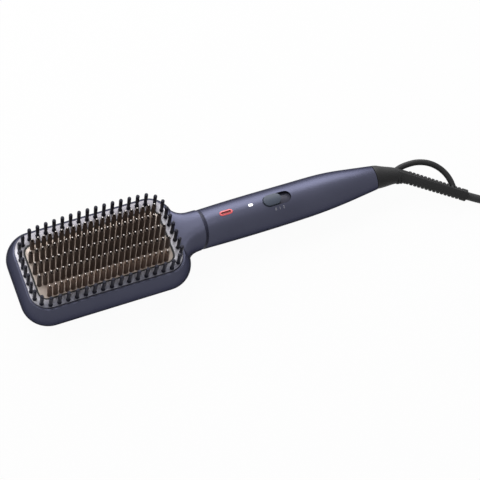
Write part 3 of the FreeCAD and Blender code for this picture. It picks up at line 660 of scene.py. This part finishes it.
def rows_of(one):
    """Five rows of copies of one pin, whose tips follow the crown while their feet stay on the plate."""
    rows = []
    for row in range(-2, 3):
        columns, first_place = outer_rows.get(row, (2 * half_row + 1, -half_row))
        drop = side_drop * (row / 2) ** 2 + (far_row_drop if row == 2 else 0)
        copy = take(double(one))
        bpy.ops.object.mode_set(mode="EDIT")
        pick("VERT", lambda spot, vert: spot.z > pin_foot)
        bpy.ops.transform.translate(value=(0, 0, -drop * MM))
        bpy.ops.mesh.select_all(action="SELECT")
        bpy.ops.transform.translate(value=(first_place * pin_pitch * MM, row * row_gap * MM, 0))
        bpy.ops.object.mode_set(mode="OBJECT")
        modify(copy, "ARRAY", count=columns, use_relative_offset=False, use_constant_offset=True,
               constant_offset_displace=(pin_pitch * MM, 0, 0))
        for vert in copy.data.vertices:
            if vert.co.z > pin_foot * MM:
                share = round(vert.co.x / MM / pin_pitch) / half_row
                vert.co.z -= end_drop * share ** 2 * MM
        rows.append(copy)
    bpy.data.objects.remove(one)
    return join(rows)


settle(rows_of(pin), "heated_pins", bronze, "ceramic_plate", "brush")
tips = settle(rows_of(cap), "pin_tips", cap_brown, "caps", "brush", "pin_caps", angle=50)
# The flat top face of each cap gets the polished patch, a painted highlight.
paint(tips, tip_painted_highlight, lambda face, spot: len(face.vertices) == cap_sides and face.normal.z > 0.9)

# %% [markdown]
# ## Cool bristles
# A ring of black nylon bristles keeps the hot plate off the skin. Each has a bulb at its foot and a blunt
# end. A turned shape like this is a small circle, extruded ring by ring; the copies stand at even steps
# round a rounded rectangle. The far row is bowed a little, and the near row leans out.

# %% Nylon
nylon = speckled("black_nylon", (0.011, 0.011, 0.018), (0.021, 0.021, 0.034), (0.34, 0.5), 1500,
                 others={"Specular IOR Level": 0.14})
print(nylon.name)

# %% One bristle
bristle_height, bristle_sides = 15.9, 10
bristle_line = [(-0.6, 1.4), (0.1, 1.65), (0.9, 1.65), (1.9, 1.3), (2.8, 1.1), (4.4, 1.3),
                (bristle_height - 0.9, 1.42), (bristle_height - 0.2, 1.3), (bristle_height, 0.95)]
bristle = turned_piece([(depth + z, radius) for z, radius in bristle_line], bristle_sides)
print("bristle faces", len(bristle.data.polygons))


# %% Ring of bristles
def ring_places(length, width, radius, count):
    """Even places round a rounded rectangle, from the middle of its far side, in mm."""
    a, b, arc = length / 2 - radius, width / 2 - radius, math.pi * radius / 2
    sides = [(a, b + radius, 180, a), (-a, b, 90, arc), (-a - radius, b, 270, 2 * b), (-a, -b, 180, arc),
             (-a, -b - radius, 0, 2 * a), (a, -b, 270, arc), (a + radius, -b, 90, 2 * b), (a, b, 0, arc),
             (a, b + radius, 180, a)]
    total = 4 * (a + b + arc)
    places = []
    for i in range(count):
        left = total * i / count
        for j, (x, y, turn, run) in enumerate(sides):
            if left <= run:
                break
            left -= run
        if j % 2:
            angle = math.radians(turn) + left / radius
            places.append((x + radius * math.cos(angle), y + radius * math.sin(angle)))
        else:
            angle = math.radians(turn)
            start_x = 0.0 if j == 0 else x
            places.append((start_x + left * math.cos(angle), y + left * math.sin(angle)))
    return places


bristle_count, field_length, field_width, field_corner = 48, 110.0, 55.6, 12.0
near_shift, near_lean = 1.0, 1.6
far_bow, far_fall, bow_middle, bow_reach = 0.9, 2.2, 6.0, 50.0
far_squeeze, squeeze_middle = 0.03, 9.5
foot = Matrix.Translation((0, 0, depth * MM))
copies = []
for x, y in ring_places(field_length, field_width, field_corner, bristle_count):
    copy = double(bristle)
    near, far = max(0, -2 * y / field_width) ** 2, max(0, 2 * y / field_width) ** 2
    y += far * (far_bow - far_fall * ((x - bow_middle) / bow_reach) ** 2)
    x -= far * far_squeeze * (x - squeeze_middle)
    lean = Matrix.Shear("XY", 4, (0, -near * near_lean / bristle_height))
    copy.data.transform(foot @ lean @ foot.inverted())
    copy.data.transform(Matrix.Translation((x * MM, (y + near * near_shift) * MM, 0)))
    copies.append(copy)
bpy.data.objects.remove(bristle)
settle(join(copies), "bristles", nylon, "bristles", "brush", "cool_bristles", angle=60)

# %% [markdown]
# ## Handle
# The handle is a turned tube, so it is made from rings that follow its side line: a faint swelling, then a
# bend into a straight taper. The rings go on inside, back to the start, and a bridge closes the wall. The
# first rings lean with the joint at the neck, and the far side is drawn out a little where the taper starts.
# Three cutters with round ends open the holes for the ion outlet, the lamp and the switch.

# %% Side line of the handle
handle_start, handle_end, belly_place, belly_radius = 82.5, 217.0, 117.0, 14.95
taper_end = Vector((219.5, 8.95))
gain = belly_radius - neck_radius
swell = ((belly_place - handle_start) ** 2 + gain ** 2) / (2 * gain)


def swelling(x):
    """Radius of the handle's swelling at a place along it, in mm."""
    return belly_radius - swell + math.sqrt(swell ** 2 - (x - belly_place) ** 2)


trim_ring_width, leave_place, bend_reach, bend_rings = 2.5, 157, 21.5, 7
first = joint_place + trim_ring_width
side_line = [(first + ahead, swelling(first) - drop) for ahead, drop in ((0, 0.35), (0.12, 0.1), (0.4, 0))]
side_line += [(x, swelling(x)) for x in (90, 98, 107, 117, 127, 137, 147, leave_place)]
leave = Vector((leave_place, swelling(leave_place)))
bend = leave + Vector((1, -(leave_place - belly_place) / swell)).normalized() * bend_reach
meet = bend + (taper_end - bend).normalized() * bend_reach
end_radius = taper_end.y + (taper_end.x - handle_end) * (bend.y - taper_end.y) / (taper_end.x - bend.x)
for i in range(1, bend_rings + 1):
    t = i / bend_rings
    side_line.append(tuple(leave * (1 - t) ** 2 + bend * (2 * t * (1 - t)) + meet * t ** 2))
side_line += [(handle_end - 0.4, end_radius + 0.047), (handle_end - 0.12, end_radius - 0.07),
              (handle_end, end_radius - 0.3)]
print("handle rings", len(side_line), "largest radius", round(max(r for _, r in side_line), 2))


# %% Handle tube
def slant(piece, reach):
    """Leans what lies before a place on the handle, as the joint at the neck does."""
    for vert in piece.data.vertices:
        if vert.co.x < reach * MM:
            vert.co.x += joint_lean * (vert.co.z - axis_height * MM)


handle_sides = 240
bore_line = [(handle_end, 6.6), (200.0, 6.6), (199.9, 7.4), (160.0, 12.3), (first, 12.3)]
handle = rings_along_x([(x, r, r, 0) for x, r in side_line + bore_line], axis_height, handle_sides)
bpy.ops.object.mode_set(mode="EDIT")
pick("FACE", lambda spot, face: len(face.verts) > 8)
bpy.ops.mesh.delete(type="FACE")
pick("EDGE", lambda spot, edge: edge.is_boundary)
bpy.ops.mesh.bridge_edge_loops()
outward()
slant(handle, first + 1)
fullness, full_place, full_reach, full_radius = 0.45, 182, 22, 12
for vert in handle.data.vertices:
    x, y = vert.co.x / MM, vert.co.y / MM
    vert.co.y += fullness * math.exp(-((x - full_place) / full_reach) ** 2) * (1 + y / full_radius) * MM
print("handle tube faces", len(handle.data.polygons))


# %% Holes of the handle
def pill(x, y, length, width, low, high):
    """Upright block with round ends at a place on the handle, between two heights over its axis."""
    piece = rounded_block(length, width, width / 2 - 0.002, axis_height + low, axis_height + high, corner_steps)
    piece.data.transform(Matrix.Translation((x * MM, y * MM, 0)))
    return piece


slot_place, slot_length, slot_width = 136.5, 22.0, 9.5
outlet_place, outlet_length, outlet_width = 96.9, 10.0, 4.0
lamp_place, lamp_length, lamp_width = 116.1, 3.6, 2.1
lights_aside, outlet_play, lamp_play, above_handle = 0.9, 0.2, 0.1, 30
holes = ((slot_place, 0, slot_length, slot_width),
         (outlet_place, lights_aside, outlet_length + outlet_play, outlet_width + outlet_play),
         (lamp_place, lights_aside, lamp_length + lamp_play, lamp_width + lamp_play))
for hole in holes:
    cut(handle, pill(*hole, 2, above_handle))
settle(handle, "handle", slate, "casing", "brush", "handle_shell", angle=30)

# %% [markdown]
# ## Ring at the neck
# A dark trim ring with a shallow groove covers the joint between the casing and the handle. It is turned
# like the handle and then leaned, because the joint is cut at a slant.

# %% Neck ring
dark_trim = speckled("dark_trim", (0.018, 0.019, 0.036), (0.030, 0.031, 0.056), (0.4, 0.5), 2200, 2.0, 0.04,
                     others={"Specular IOR Level": 0.15})
edge, band, groove = 14.2, 14.35, 14.15
ring_line = [(0.0, edge), (0.1, band), (0.7, band), (0.85, groove), (1.7, groove), (1.85, band), (2.4, band),
             (trim_ring_width, edge)]
ring = rings_along_x([(joint_place + x, r, r, 0) for x, r in ring_line], axis_height, 96)
slant(ring, 90)
settle(ring, "neck_trim", dark_trim, "dark_trim", "brush", "neck_ring", angle=25)

# %% [markdown]
# ## Lights and switch on the handle
# A red outlet for ions, a white lamp and a slide switch sit in the top of the handle, the two lights a little
# towards the far side. Their tops follow the handle's round surface: a tall block with round ends is crossed
# with a cylinder of that radius.


# %% Block with a round top
def pill_on_handle(x, y, length, width, low, proud, edge, well=None):
    """Block with round ends whose top follows the handle, with a soft edge and perhaps a well in its top."""
    piece = pill(x, y, length, width, low, above_handle)
    cut(piece, rod(256, swelling(x) + proud, 60, (x, 0, axis_height)), "INTERSECT")
    if well:
        cut(piece, well)
    return soften(piece, edge, 3, 40)


# %% Ion outlet
red_rim = speckled("red_rim", (0.52, 0.055, 0.065), (0.62, 0.085, 0.095), (0.25, 0.35), 1500, 2.0, 0.03)
red_well = speckled("red_well", (0.16, 0.006, 0.008), (0.24, 0.012, 0.014), (0.3, 0.45), 1500, 2.0, 0.03)
well_length, well_width, well_floor = 7.6, 1.9, swelling(outlet_place) - 0.7
outlet = pill_on_handle(outlet_place, lights_aside, outlet_length, outlet_width, 11.4, 0.15, 0.25,
                        pill(outlet_place, lights_aside, well_length, well_width, well_floor, 40))
outlet = settle(outlet, "ion_grille", red_rim, "red_insert", "brush", "ion_outlet", angle=40)
paint(outlet, red_well, lambda face, spot: abs(spot.x - outlet_place) < 3.9
      and abs(spot.y - lights_aside) < 1.0 and spot.z < axis_height + well_floor + 0.6)
print("red outlet faces", len(outlet.data.polygons))

# %% Lamp
lamp_white = speckled("lamp_white", (0.86, 0.87, 0.88), (0.95, 0.95, 0.95), (0.15, 0.25), 900, 1.0, 0.02,
                      others={"Emission Color": (1, 1, 1, 1), "Emission Strength": 0.6})
lens = pill_on_handle(lamp_place, lights_aside, lamp_length, lamp_width, 6.0, 0.12, 0.2)
settle(lens, "lamp_window", lamp_white, "lens", "brush", "led_lens", angle=40)

# %% [markdown]
# ## Slide switch
# The knob is a round-ended button in a slot that is longer than it. A curved shutter rides under the knob and
# closes the open end of the slot, so the knob and its shutter are one piece and slide together.

# %% Knob with its shutter
knob_grey = speckled("knob_grey", (0.044, 0.054, 0.076), (0.066, 0.078, 0.106), (0.38, 0.52), 2600, 2.0, 0.08,
                     others={"Specular IOR Level": 0.2})
shutter_grey = speckled("shutter_grey", (0.036, 0.036, 0.056), (0.054, 0.054, 0.080), (0.4, 0.5), 2600,
                        others={"Specular IOR Level": 0.25})
knob_length, knob_width, end_play = 13.5, 8.6, 0.4
knob_place = slot_place - (slot_length - knob_length) / 2 + end_play
knob = pill_on_handle(knob_place, 0, knob_length, knob_width, 11.3, 1.4, 0.8)
shutter_radius, shutter_length, shutter_half_width, shutter_wall = 11.95, 30.9, 6.2, 1.1
rod(128, shutter_radius, shutter_length, (knob_place, 0, axis_height), "NOTHING")
shutter = apply_place()
bpy.ops.object.mode_set(mode="EDIT")
pick("FACE", lambda spot, face: spot.z < axis_height or abs(spot.y) > shutter_half_width)
bpy.ops.mesh.delete(type="FACE")
bpy.ops.object.mode_set(mode="OBJECT")
modify(shutter, "SOLIDIFY", thickness=shutter_wall * MM, offset=-1)
knob = settle(join([knob, shutter]), "switch_button", knob_grey, "knob", "switch_knob", "slide_knob")
paint(knob, shutter_grey, lambda face, spot: math.hypot(spot.z - axis_height, spot.y) < shutter_radius + 0.15)

# %% [markdown]
# ## Marks of the switch
# Small printed figures tell the switch's places. Text is turned into a flat mesh, cut into small triangles
# and projected onto the handle, so that it follows the round surface like a print.

# %% Printed figures
print_grey = speckled("print_grey", (0.28, 0.28, 0.32), (0.40, 0.40, 0.44), (0.4, 0.5), 5000, strength=0)
figure_size, figure_step, figure_line, print_lift = 2.7, 3.1, -8.0, 0.04
marks = []
for i, text in enumerate("012"):
    clear()
    bpy.ops.object.text_add(location=((slot_place + (i - 1) * figure_step) * MM, figure_line * MM,
                                      (axis_height + 20) * MM))
    label = bpy.context.object
    label.data.body = text
    label.data.size = figure_size * MM
    label.data.align_x = "CENTER"
    bpy.ops.object.convert(target="MESH")
    marks.append(apply_place())
label = join(marks)
bpy.ops.object.mode_set(mode="EDIT")
bpy.ops.mesh.select_all(action="SELECT")
bpy.ops.mesh.quads_convert_to_tris()
bpy.ops.mesh.subdivide(number_cuts=2)
bpy.ops.object.mode_set(mode="OBJECT")
modify(label, "SHRINKWRAP", target=handle, wrap_method="PROJECT", use_project_z=True,
       use_negative_direction=True, use_positive_direction=False, offset=print_lift * MM)
settle(label, "switch_figures", print_grey, None, "brush")

# %% [markdown]
# ## Strain relief
# A black rubber boot leaves the swivel at the end of the handle, bends, and goes on as a ribbed sleeve. A thin
# loop beside it is for hanging the brush up. The boot and the loop are curves with a round section; ribs, spine
# and end block are small turned and bevelled blocks set along the sleeve. Three last ribs are sunk into the
# boot, so that only their lower edges show.

# %% Rubber, and the directions of the boot and the sleeve
rubber = speckled("soft_rubber", (0.015, 0.015, 0.016), (0.027, 0.027, 0.028), (0.42, 0.58), 1600, 3.0, 0.12,
                  0.08 * MM, others={"Specular IOR Level": 0.16})
turn, bend_angle = math.radians(72.5), math.radians(33.0)
aside = Vector((0, -math.sin(turn), -math.cos(turn)))
ahead = Vector((1, 0, 0))
way = ahead * math.cos(bend_angle) + aside * math.sin(bend_angle)
lid = ahead.cross(aside)
boot_gap, boot_length, boot_sway, sleeve_length = 0.3, 26.0, 7.2, 47.9
boot = Vector((handle_end + boot_gap, 0, axis_height))
sleeve_start = boot + ahead * boot_length + aside * boot_sway
sleeve_end = sleeve_start + way * sleeve_length
print("sleeve from", [round(v, 1) for v in sleeve_start], "to", [round(v, 1) for v in sleeve_end])


# %% A round line as an object
def round_line(name, points, radii, thickness, sides, steps):
    """Curve object with a round section along a smooth line through points, in mm."""
    curve = bpy.data.curves.new(name, "CURVE")
    curve.dimensions = "3D"
    curve.bevel_depth = thickness * MM
    curve.bevel_resolution = sides
    curve.use_fill_caps = True
    spline = curve.splines.new("NURBS")
    spline.points.add(len(points) - 1)
    for knot, point, radius in zip(spline.points, points, radii):
        knot.co = (*(point * MM), 1)
        knot.radius = radius
    spline.order_u = 3
    spline.use_endpoint_u = True
    spline.resolution_u = steps
    piece = bpy.data.objects.new(name, curve)
    bpy.context.collection.objects.link(piece)
    return piece


def tube_piece(points, radii):
    """Round line with a radius at each point, turned into a mesh."""
    take(round_line("tube", points, radii, 1, 10, 8))
    bpy.ops.object.convert(target="MESH")
    return bpy.context.object


# %% Boot
sway = [(0.0, 0.0), (0.05, 0.0), (0.16, 0.7), (0.3, 1.4), (0.5, 2.2), (0.7, 3.5), (0.85, 5.1),
        (1.0, boot_sway)]
thin_end, taper_share, inner_reach, inner_radius = 4.6, 0.92, 3, 4.2


def boot_spot(s):
    """Middle of the boot at a share of its length."""
    for (s0, a0), (s1, a1) in zip(sway, sway[1:]):
        if s <= s1 or s1 == 1.0:
            return boot + ahead * (boot_length * s) + aside * (a0 + (a1 - a0) * (s - s0) / (s1 - s0))


def boot_radius(s):
    """Radius of the boot at a share of its length."""
    return end_radius - (end_radius - thin_end) * min(1, s / taper_share) ** 1.1


shares = [s for s, _ in sway]
elbow = tube_piece([*(boot_spot(s) for s in shares), sleeve_start + way * inner_reach],
                   [*(boot_radius(s) for s in shares), inner_radius])
print("boot faces", len(elbow.data.polygons))

# %% Hanging loop
loop_thickness, loop_radius, loop_steps, loop_tail = 2.3, 25.2, 8, 6
loop_start = ((11.5, -1.5), (17.5, 0.0), (23.0, 1.8), (28.5, 2.3), (34.0, 2.3))
loop_line = [boot + ahead * along - aside * out for along, out in loop_start]
centre = boot + ahead * 33.2 + aside * 23.1
for i in range(1, loop_steps + 1):
    a = math.radians(90 * i / loop_steps)
    loop_line.append(centre + (ahead * math.sin(a) - aside * math.cos(a)) * loop_radius)
loop_line.append(loop_line[-1] + aside * loop_tail)
loop = tube_piece(loop_line, [loop_thickness] * len(loop_line))
print("loop faces", len(loop.data.polygons))


# %% Ribs and end block of the sleeve
turned = Matrix((way, lid.cross(way), lid)).transposed().to_4x4()


def on_sleeve(distance):
    """Placement at a distance along the sleeve, with its own X along the sleeve."""
    return Matrix.Translation((sleeve_start + way * distance) * MM) @ turned


def disc(distance, radius, width, edge):
    """Round disc with soft edges that stands on the sleeve from a distance."""
    rod(40, radius, width, (width / 2, 0, 0))
    piece = soften(apply_place(), edge, 2, 50)
    piece.data.transform(on_sleeve(distance))
    return piece


core_radius, collar_length, collar_radius = 3.6, 4.0, 4.6
rib_count, rib_pitch, rib_width, rib_edge, rib_radius, rib_taper = 15, 3.1, 1.7, 0.3, 5.1, 0.5
parts = [disc(0, core_radius, sleeve_length, 0.2)]
for i in range(rib_count):
    parts.append(disc(rib_pitch * i, rib_radius - rib_taper * i / (rib_count - 1), rib_width, rib_edge))
parts.append(disc(sleeve_length - collar_length, collar_radius, collar_length, 0.4))
print("ribs on the sleeve", rib_count)

# %% Ribs sunk into the boot
sunk, lowered = 0.4, 1.0
for s in (0.68, 0.79, 0.9):
    rib = disc(0, boot_radius(s) - sunk, rib_width, rib_edge)
    ahead_here = (boot_spot(s + 0.01) - boot_spot(s)).normalized()
    turned_along = way.rotation_difference(ahead_here).to_matrix().to_4x4()
    rib.data.transform(Matrix.Translation((boot_spot(s) + aside * lowered) * MM) @ turned_along
                       @ Matrix.Translation(-sleeve_start * MM))
    parts.append(rib)
print("pieces of the sleeve and the boot", len(parts))

# %% Spine, and the whole strain relief
spine_turn, spine_root, spine_width, spine_height, spine_drop = 18, 10, 6.0, 8.9, 0.65
block((sleeve_length + spine_root, spine_width, spine_height), ((sleeve_length - spine_root) / 2, 0, -spine_drop))
spine = soften(apply_place(), 0.5, 3, 30)
spine.data.transform(on_sleeve(0) @ Matrix.Rotation(math.radians(spine_turn), 4, "X"))
settle(join([elbow, loop, spine, *parts]), "strain_boot", rubber, "soft_rubber", "cord_end", "strain_relief",
       angle=40)

# %% [markdown]
# ## Mains cord
# The cord leaves the sleeve, bends down to the table and out of the picture. The rest is wound into a neat
# coil just outside the view, held by a strap, with its plug beside it. One smooth spline carries the whole
# length; the turns of the coil come from a formula.

# %% Turns of the coil
cord_radius = 3.1
route = [sleeve_end, sleeve_end + way * 10, Vector((311.0, -48.0, 3.3)), Vector((334.2, -57.4, 4.2)),
         Vector((353.6, -62.2, 4.2))]
coil_inner, coil_pitch, layer_turns = 25.0, 6.65, 3.5625
climb = layer_turns / 14


def coil_spot(t):
    """Point of the coil after t turns, about its own centre."""
    radius = coil_inner + coil_pitch * abs(t - layer_turns)
    share = min(max((t - layer_turns + climb) / (2 * climb), 0), 1)
    rise = coil_pitch * (1 - math.cos(math.pi * share)) / 2
    a = 2 * math.pi * t
    return Vector((radius * math.cos(a), radius * math.sin(a), rise))


def coil_way(t):
    """Direction of the coil after t turns."""
    return (coil_spot(t + 1e-4) - coil_spot(t - 1e-4)).normalized()


print("coil outer radius", round(coil_spot(0).length, 1), "mm")

# %% Route of the cord
heading = (route[-1] - route[-2]).normalized()
first_way = coil_way(0)
spin = math.atan2(heading.y, heading.x) - math.atan2(first_way.y, first_way.x)
turn_coil = Matrix.Rotation(spin, 3, "Z")
coil_start = route[-1] + heading * (2 * cord_radius)
coil_middle = coil_start - turn_coil @ coil_spot(0)
per_turn = 20
grow = 1 / math.cos(math.pi / per_turn)  # the spline runs inside its points, so they stand out by this
count = round(2 * layer_turns * per_turn)
for i in range(count + 1):
    spot = coil_spot(2 * layer_turns * i / count)
    if 0 < i < count:
        spot.xy *= grow
    route.append(coil_middle + turn_coil @ spot)
leaving = turn_coil @ coil_way(2 * layer_turns)
leaving.z = 0
leaving.normalize()
to_left = Vector((-leaving.y, leaving.x, 0))
coil_end = route[-1] + leaving * (2 * cord_radius)
route.append(coil_end)
for forward, aleft, up in ((12.0, 0.0, 0.0), (24.0, 3.4, -1.9), (34.0, 9.9, -3.9), (44.0, 18.9, -3.9)):
    route.append(coil_end + leaving * forward + to_left * aleft + Vector((0, 0, up)))
print("route points", len(route), "plug at", [round(v, 1) for v in route[-1]])

# %% Cord along its route
jacket = speckled("cord_jacket", (0.016, 0.016, 0.017), (0.027, 0.027, 0.029), (0.38, 0.52), 1400, 3.0, 0.08,
                  0.06 * MM, others={"Specular IOR Level": 0.25})
cord = round_line("mains_cord", route, [1] * len(route), cord_radius, 5, 4)
cord.data.materials.append(jacket)
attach(cord, "cord_end")
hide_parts("cord_run", "cord_coil", "cord_tail")
print("cord length by its runs", round(sum((b - a).length for a, b in zip(route, route[1:]))), "mm")

# %% [markdown]
# ## Plug and tie
# A flat two-pole plug ends the cord, and a woven strap holds the coil. The plug is a row of rings that widen
# from the cord to the face with its two pins; the strap is a rounded band round the turns.

# %% Plug
plug_way = route[-1] - route[-2]
plug_way.z = 0
plug_way.normalize()
at_plug = Matrix.Translation(route[-1] * MM) @ Matrix(
    (plug_way, Vector((-plug_way.y, plug_way.x, 0)), Vector((0, 0, 1)))).transposed().to_4x4()
plug_length = 35.0
stations = [(0.0, 4.2, 4.2), (1.0, 4.6, 4.5), (12.0, 5.1, 4.9), (16.0, 7.6, 5.8), (20.0, 12.0, 6.5),
            (25.0, 16.4, 6.8), (28.5, 17.6, 6.85), (33.8, 17.6, 6.85), (34.7, 17.2, 6.5),
            (plug_length, 16.8, 6.1)]
plug = rings_along_x([(x, wide, tall, 0) for x, wide, tall in stations], 0, 40)
plug.data.transform(at_plug)
plug = settle(plug, "plug", rubber, "plug_plastic", "cord_end", "plug_body", angle=50)

# %% Pins of the plug
nickel = speckled("nickel", (0.62, 0.60, 0.56), (0.75, 0.73, 0.69), (0.18, 0.3), 900, 2.0, 0.03,
                  stretch=(1, 1, 6), others={"Metallic": 1.0})
prong_radius, prong_length, prong_aside, prong_edge = 2.0, 19.0, 9.3, 0.9
pair = []
for side in (-1, 1):
    rod(24, prong_radius, prong_length, (plug_length + prong_length / 2, side * prong_aside, 0))
    prong = apply_place()
    bpy.ops.object.mode_set(mode="EDIT")
    pick("EDGE", lambda spot, edge: spot.x > plug_length + prong_length - 0.1)
    bpy.ops.mesh.bevel(offset=prong_edge * MM, segments=4, affect="EDGES")
    bpy.ops.object.mode_set(mode="OBJECT")
    prong.data.transform(at_plug)
    pair.append(prong)
prongs = settle(join(pair), "plug_prongs", nickel, "nickel", "cord_end", "plug_pins")

# %% Strap
strap_cloth, start = new_finish("strap_cloth")
weave = noise(start, 900, 1.0)
fuzz = noise(start, 4000, 2.0)
tone = weave * 0.6 + fuzz * 0.4
close_finish(start, {"Base Color": tone.mix((0.012, 0.012, 0.014, 1), (0.03, 0.03, 0.033, 1)),
                     "Roughness": fuzz.between(0.75, 0.95)}, (weave, 0.3, 0.2 * MM))
strap_half_width, strap_wall, strap_gap, strap_corner, strap_turn = 5, 0.8, 0.3, 3.0, 150
coil_outer = coil_inner + layer_turns * coil_pitch
wide = coil_outer - coil_inner + 2 * (cord_radius + strap_gap)
tall = coil_pitch + 2 * (cord_radius + strap_gap)
strap = rounded_block(wide + 2 * strap_wall, tall + 2 * strap_wall, strap_corner + strap_wall,
                      -strap_half_width, strap_half_width, 8)
cut(strap, rounded_block(wide, tall, strap_corner, -strap_half_width - 1, strap_half_width + 1, 8))
soften(strap, 0.25, 2, 60)
turns_middle = Vector(((coil_inner + coil_outer) / 2, 0, coil_pitch / 2))
strap.data.transform(Matrix.Translation(coil_middle * MM) @ turn_coil.to_4x4()
                     @ Matrix.Rotation(math.radians(strap_turn), 4, "Z")
                     @ Matrix.Translation(turns_middle * MM) @ Matrix.Rotation(math.pi / 2, 4, "X"))
strap = settle(strap, "coil_strap", strap_cloth, "tie_strap", "cord_end", "cord_tie")

# %% Facts of the cord
sleeve_end * MM

# %% [markdown]
# ## Pieces inside
# What sits inside the casing and the handle keeps its solid and gets a plain finish of its own kind: heater
# strips, mica sheet, steel clamp and screws, board, switch and swivel. The black seal round the plate shows as
# a thin line, and its solid is already right.

# %% Finishes of the inner pieces
inner = {
    "black_seal": ((0.006, 0.006, 0.007), (0.012, 0.012, 0.013), 0.0, 0.5, ["plate_seal"]),
    "inner_plastic": ((0.08, 0.08, 0.085), (0.11, 0.11, 0.115), 0.0, 0.5,
                      ["bristle_retainer", "chassis", "slide_switch", "ion_module", "swivel_bush",
                       "swivel_spindle"]),
    "heater_ceramic": ((0.55, 0.54, 0.5), (0.65, 0.64, 0.6), 0.0, 0.6,
                       ["ptc_heaters", "thermal_fuse", "led_lamp"]),
    "mica_sheet": ((0.42, 0.36, 0.26), (0.55, 0.48, 0.36), 0.0, 0.45, ["insulation_sheet"]),
    "steel": ((0.45, 0.45, 0.46), (0.58, 0.58, 0.6), 1.0, 0.35,
              ["heater_clamp", "clamp_screws", "ion_needle"]),
    "green_board": ((0.012, 0.09, 0.035), (0.02, 0.14, 0.055), 0.0, 0.4, ["circuit_board"]),
}
rough_spread = 0.06
for name, (dark, light, metal, rough, members) in inner.items():
    finish = speckled(name, dark, light, (rough - rough_spread, rough + rough_spread), 900, 3.0,
                      others={"Metallic": metal})
    for member in members:
        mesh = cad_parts[member].data
        mesh.materials.clear()
        mesh.materials.append(finish)
print("inner finishes", len(inner))
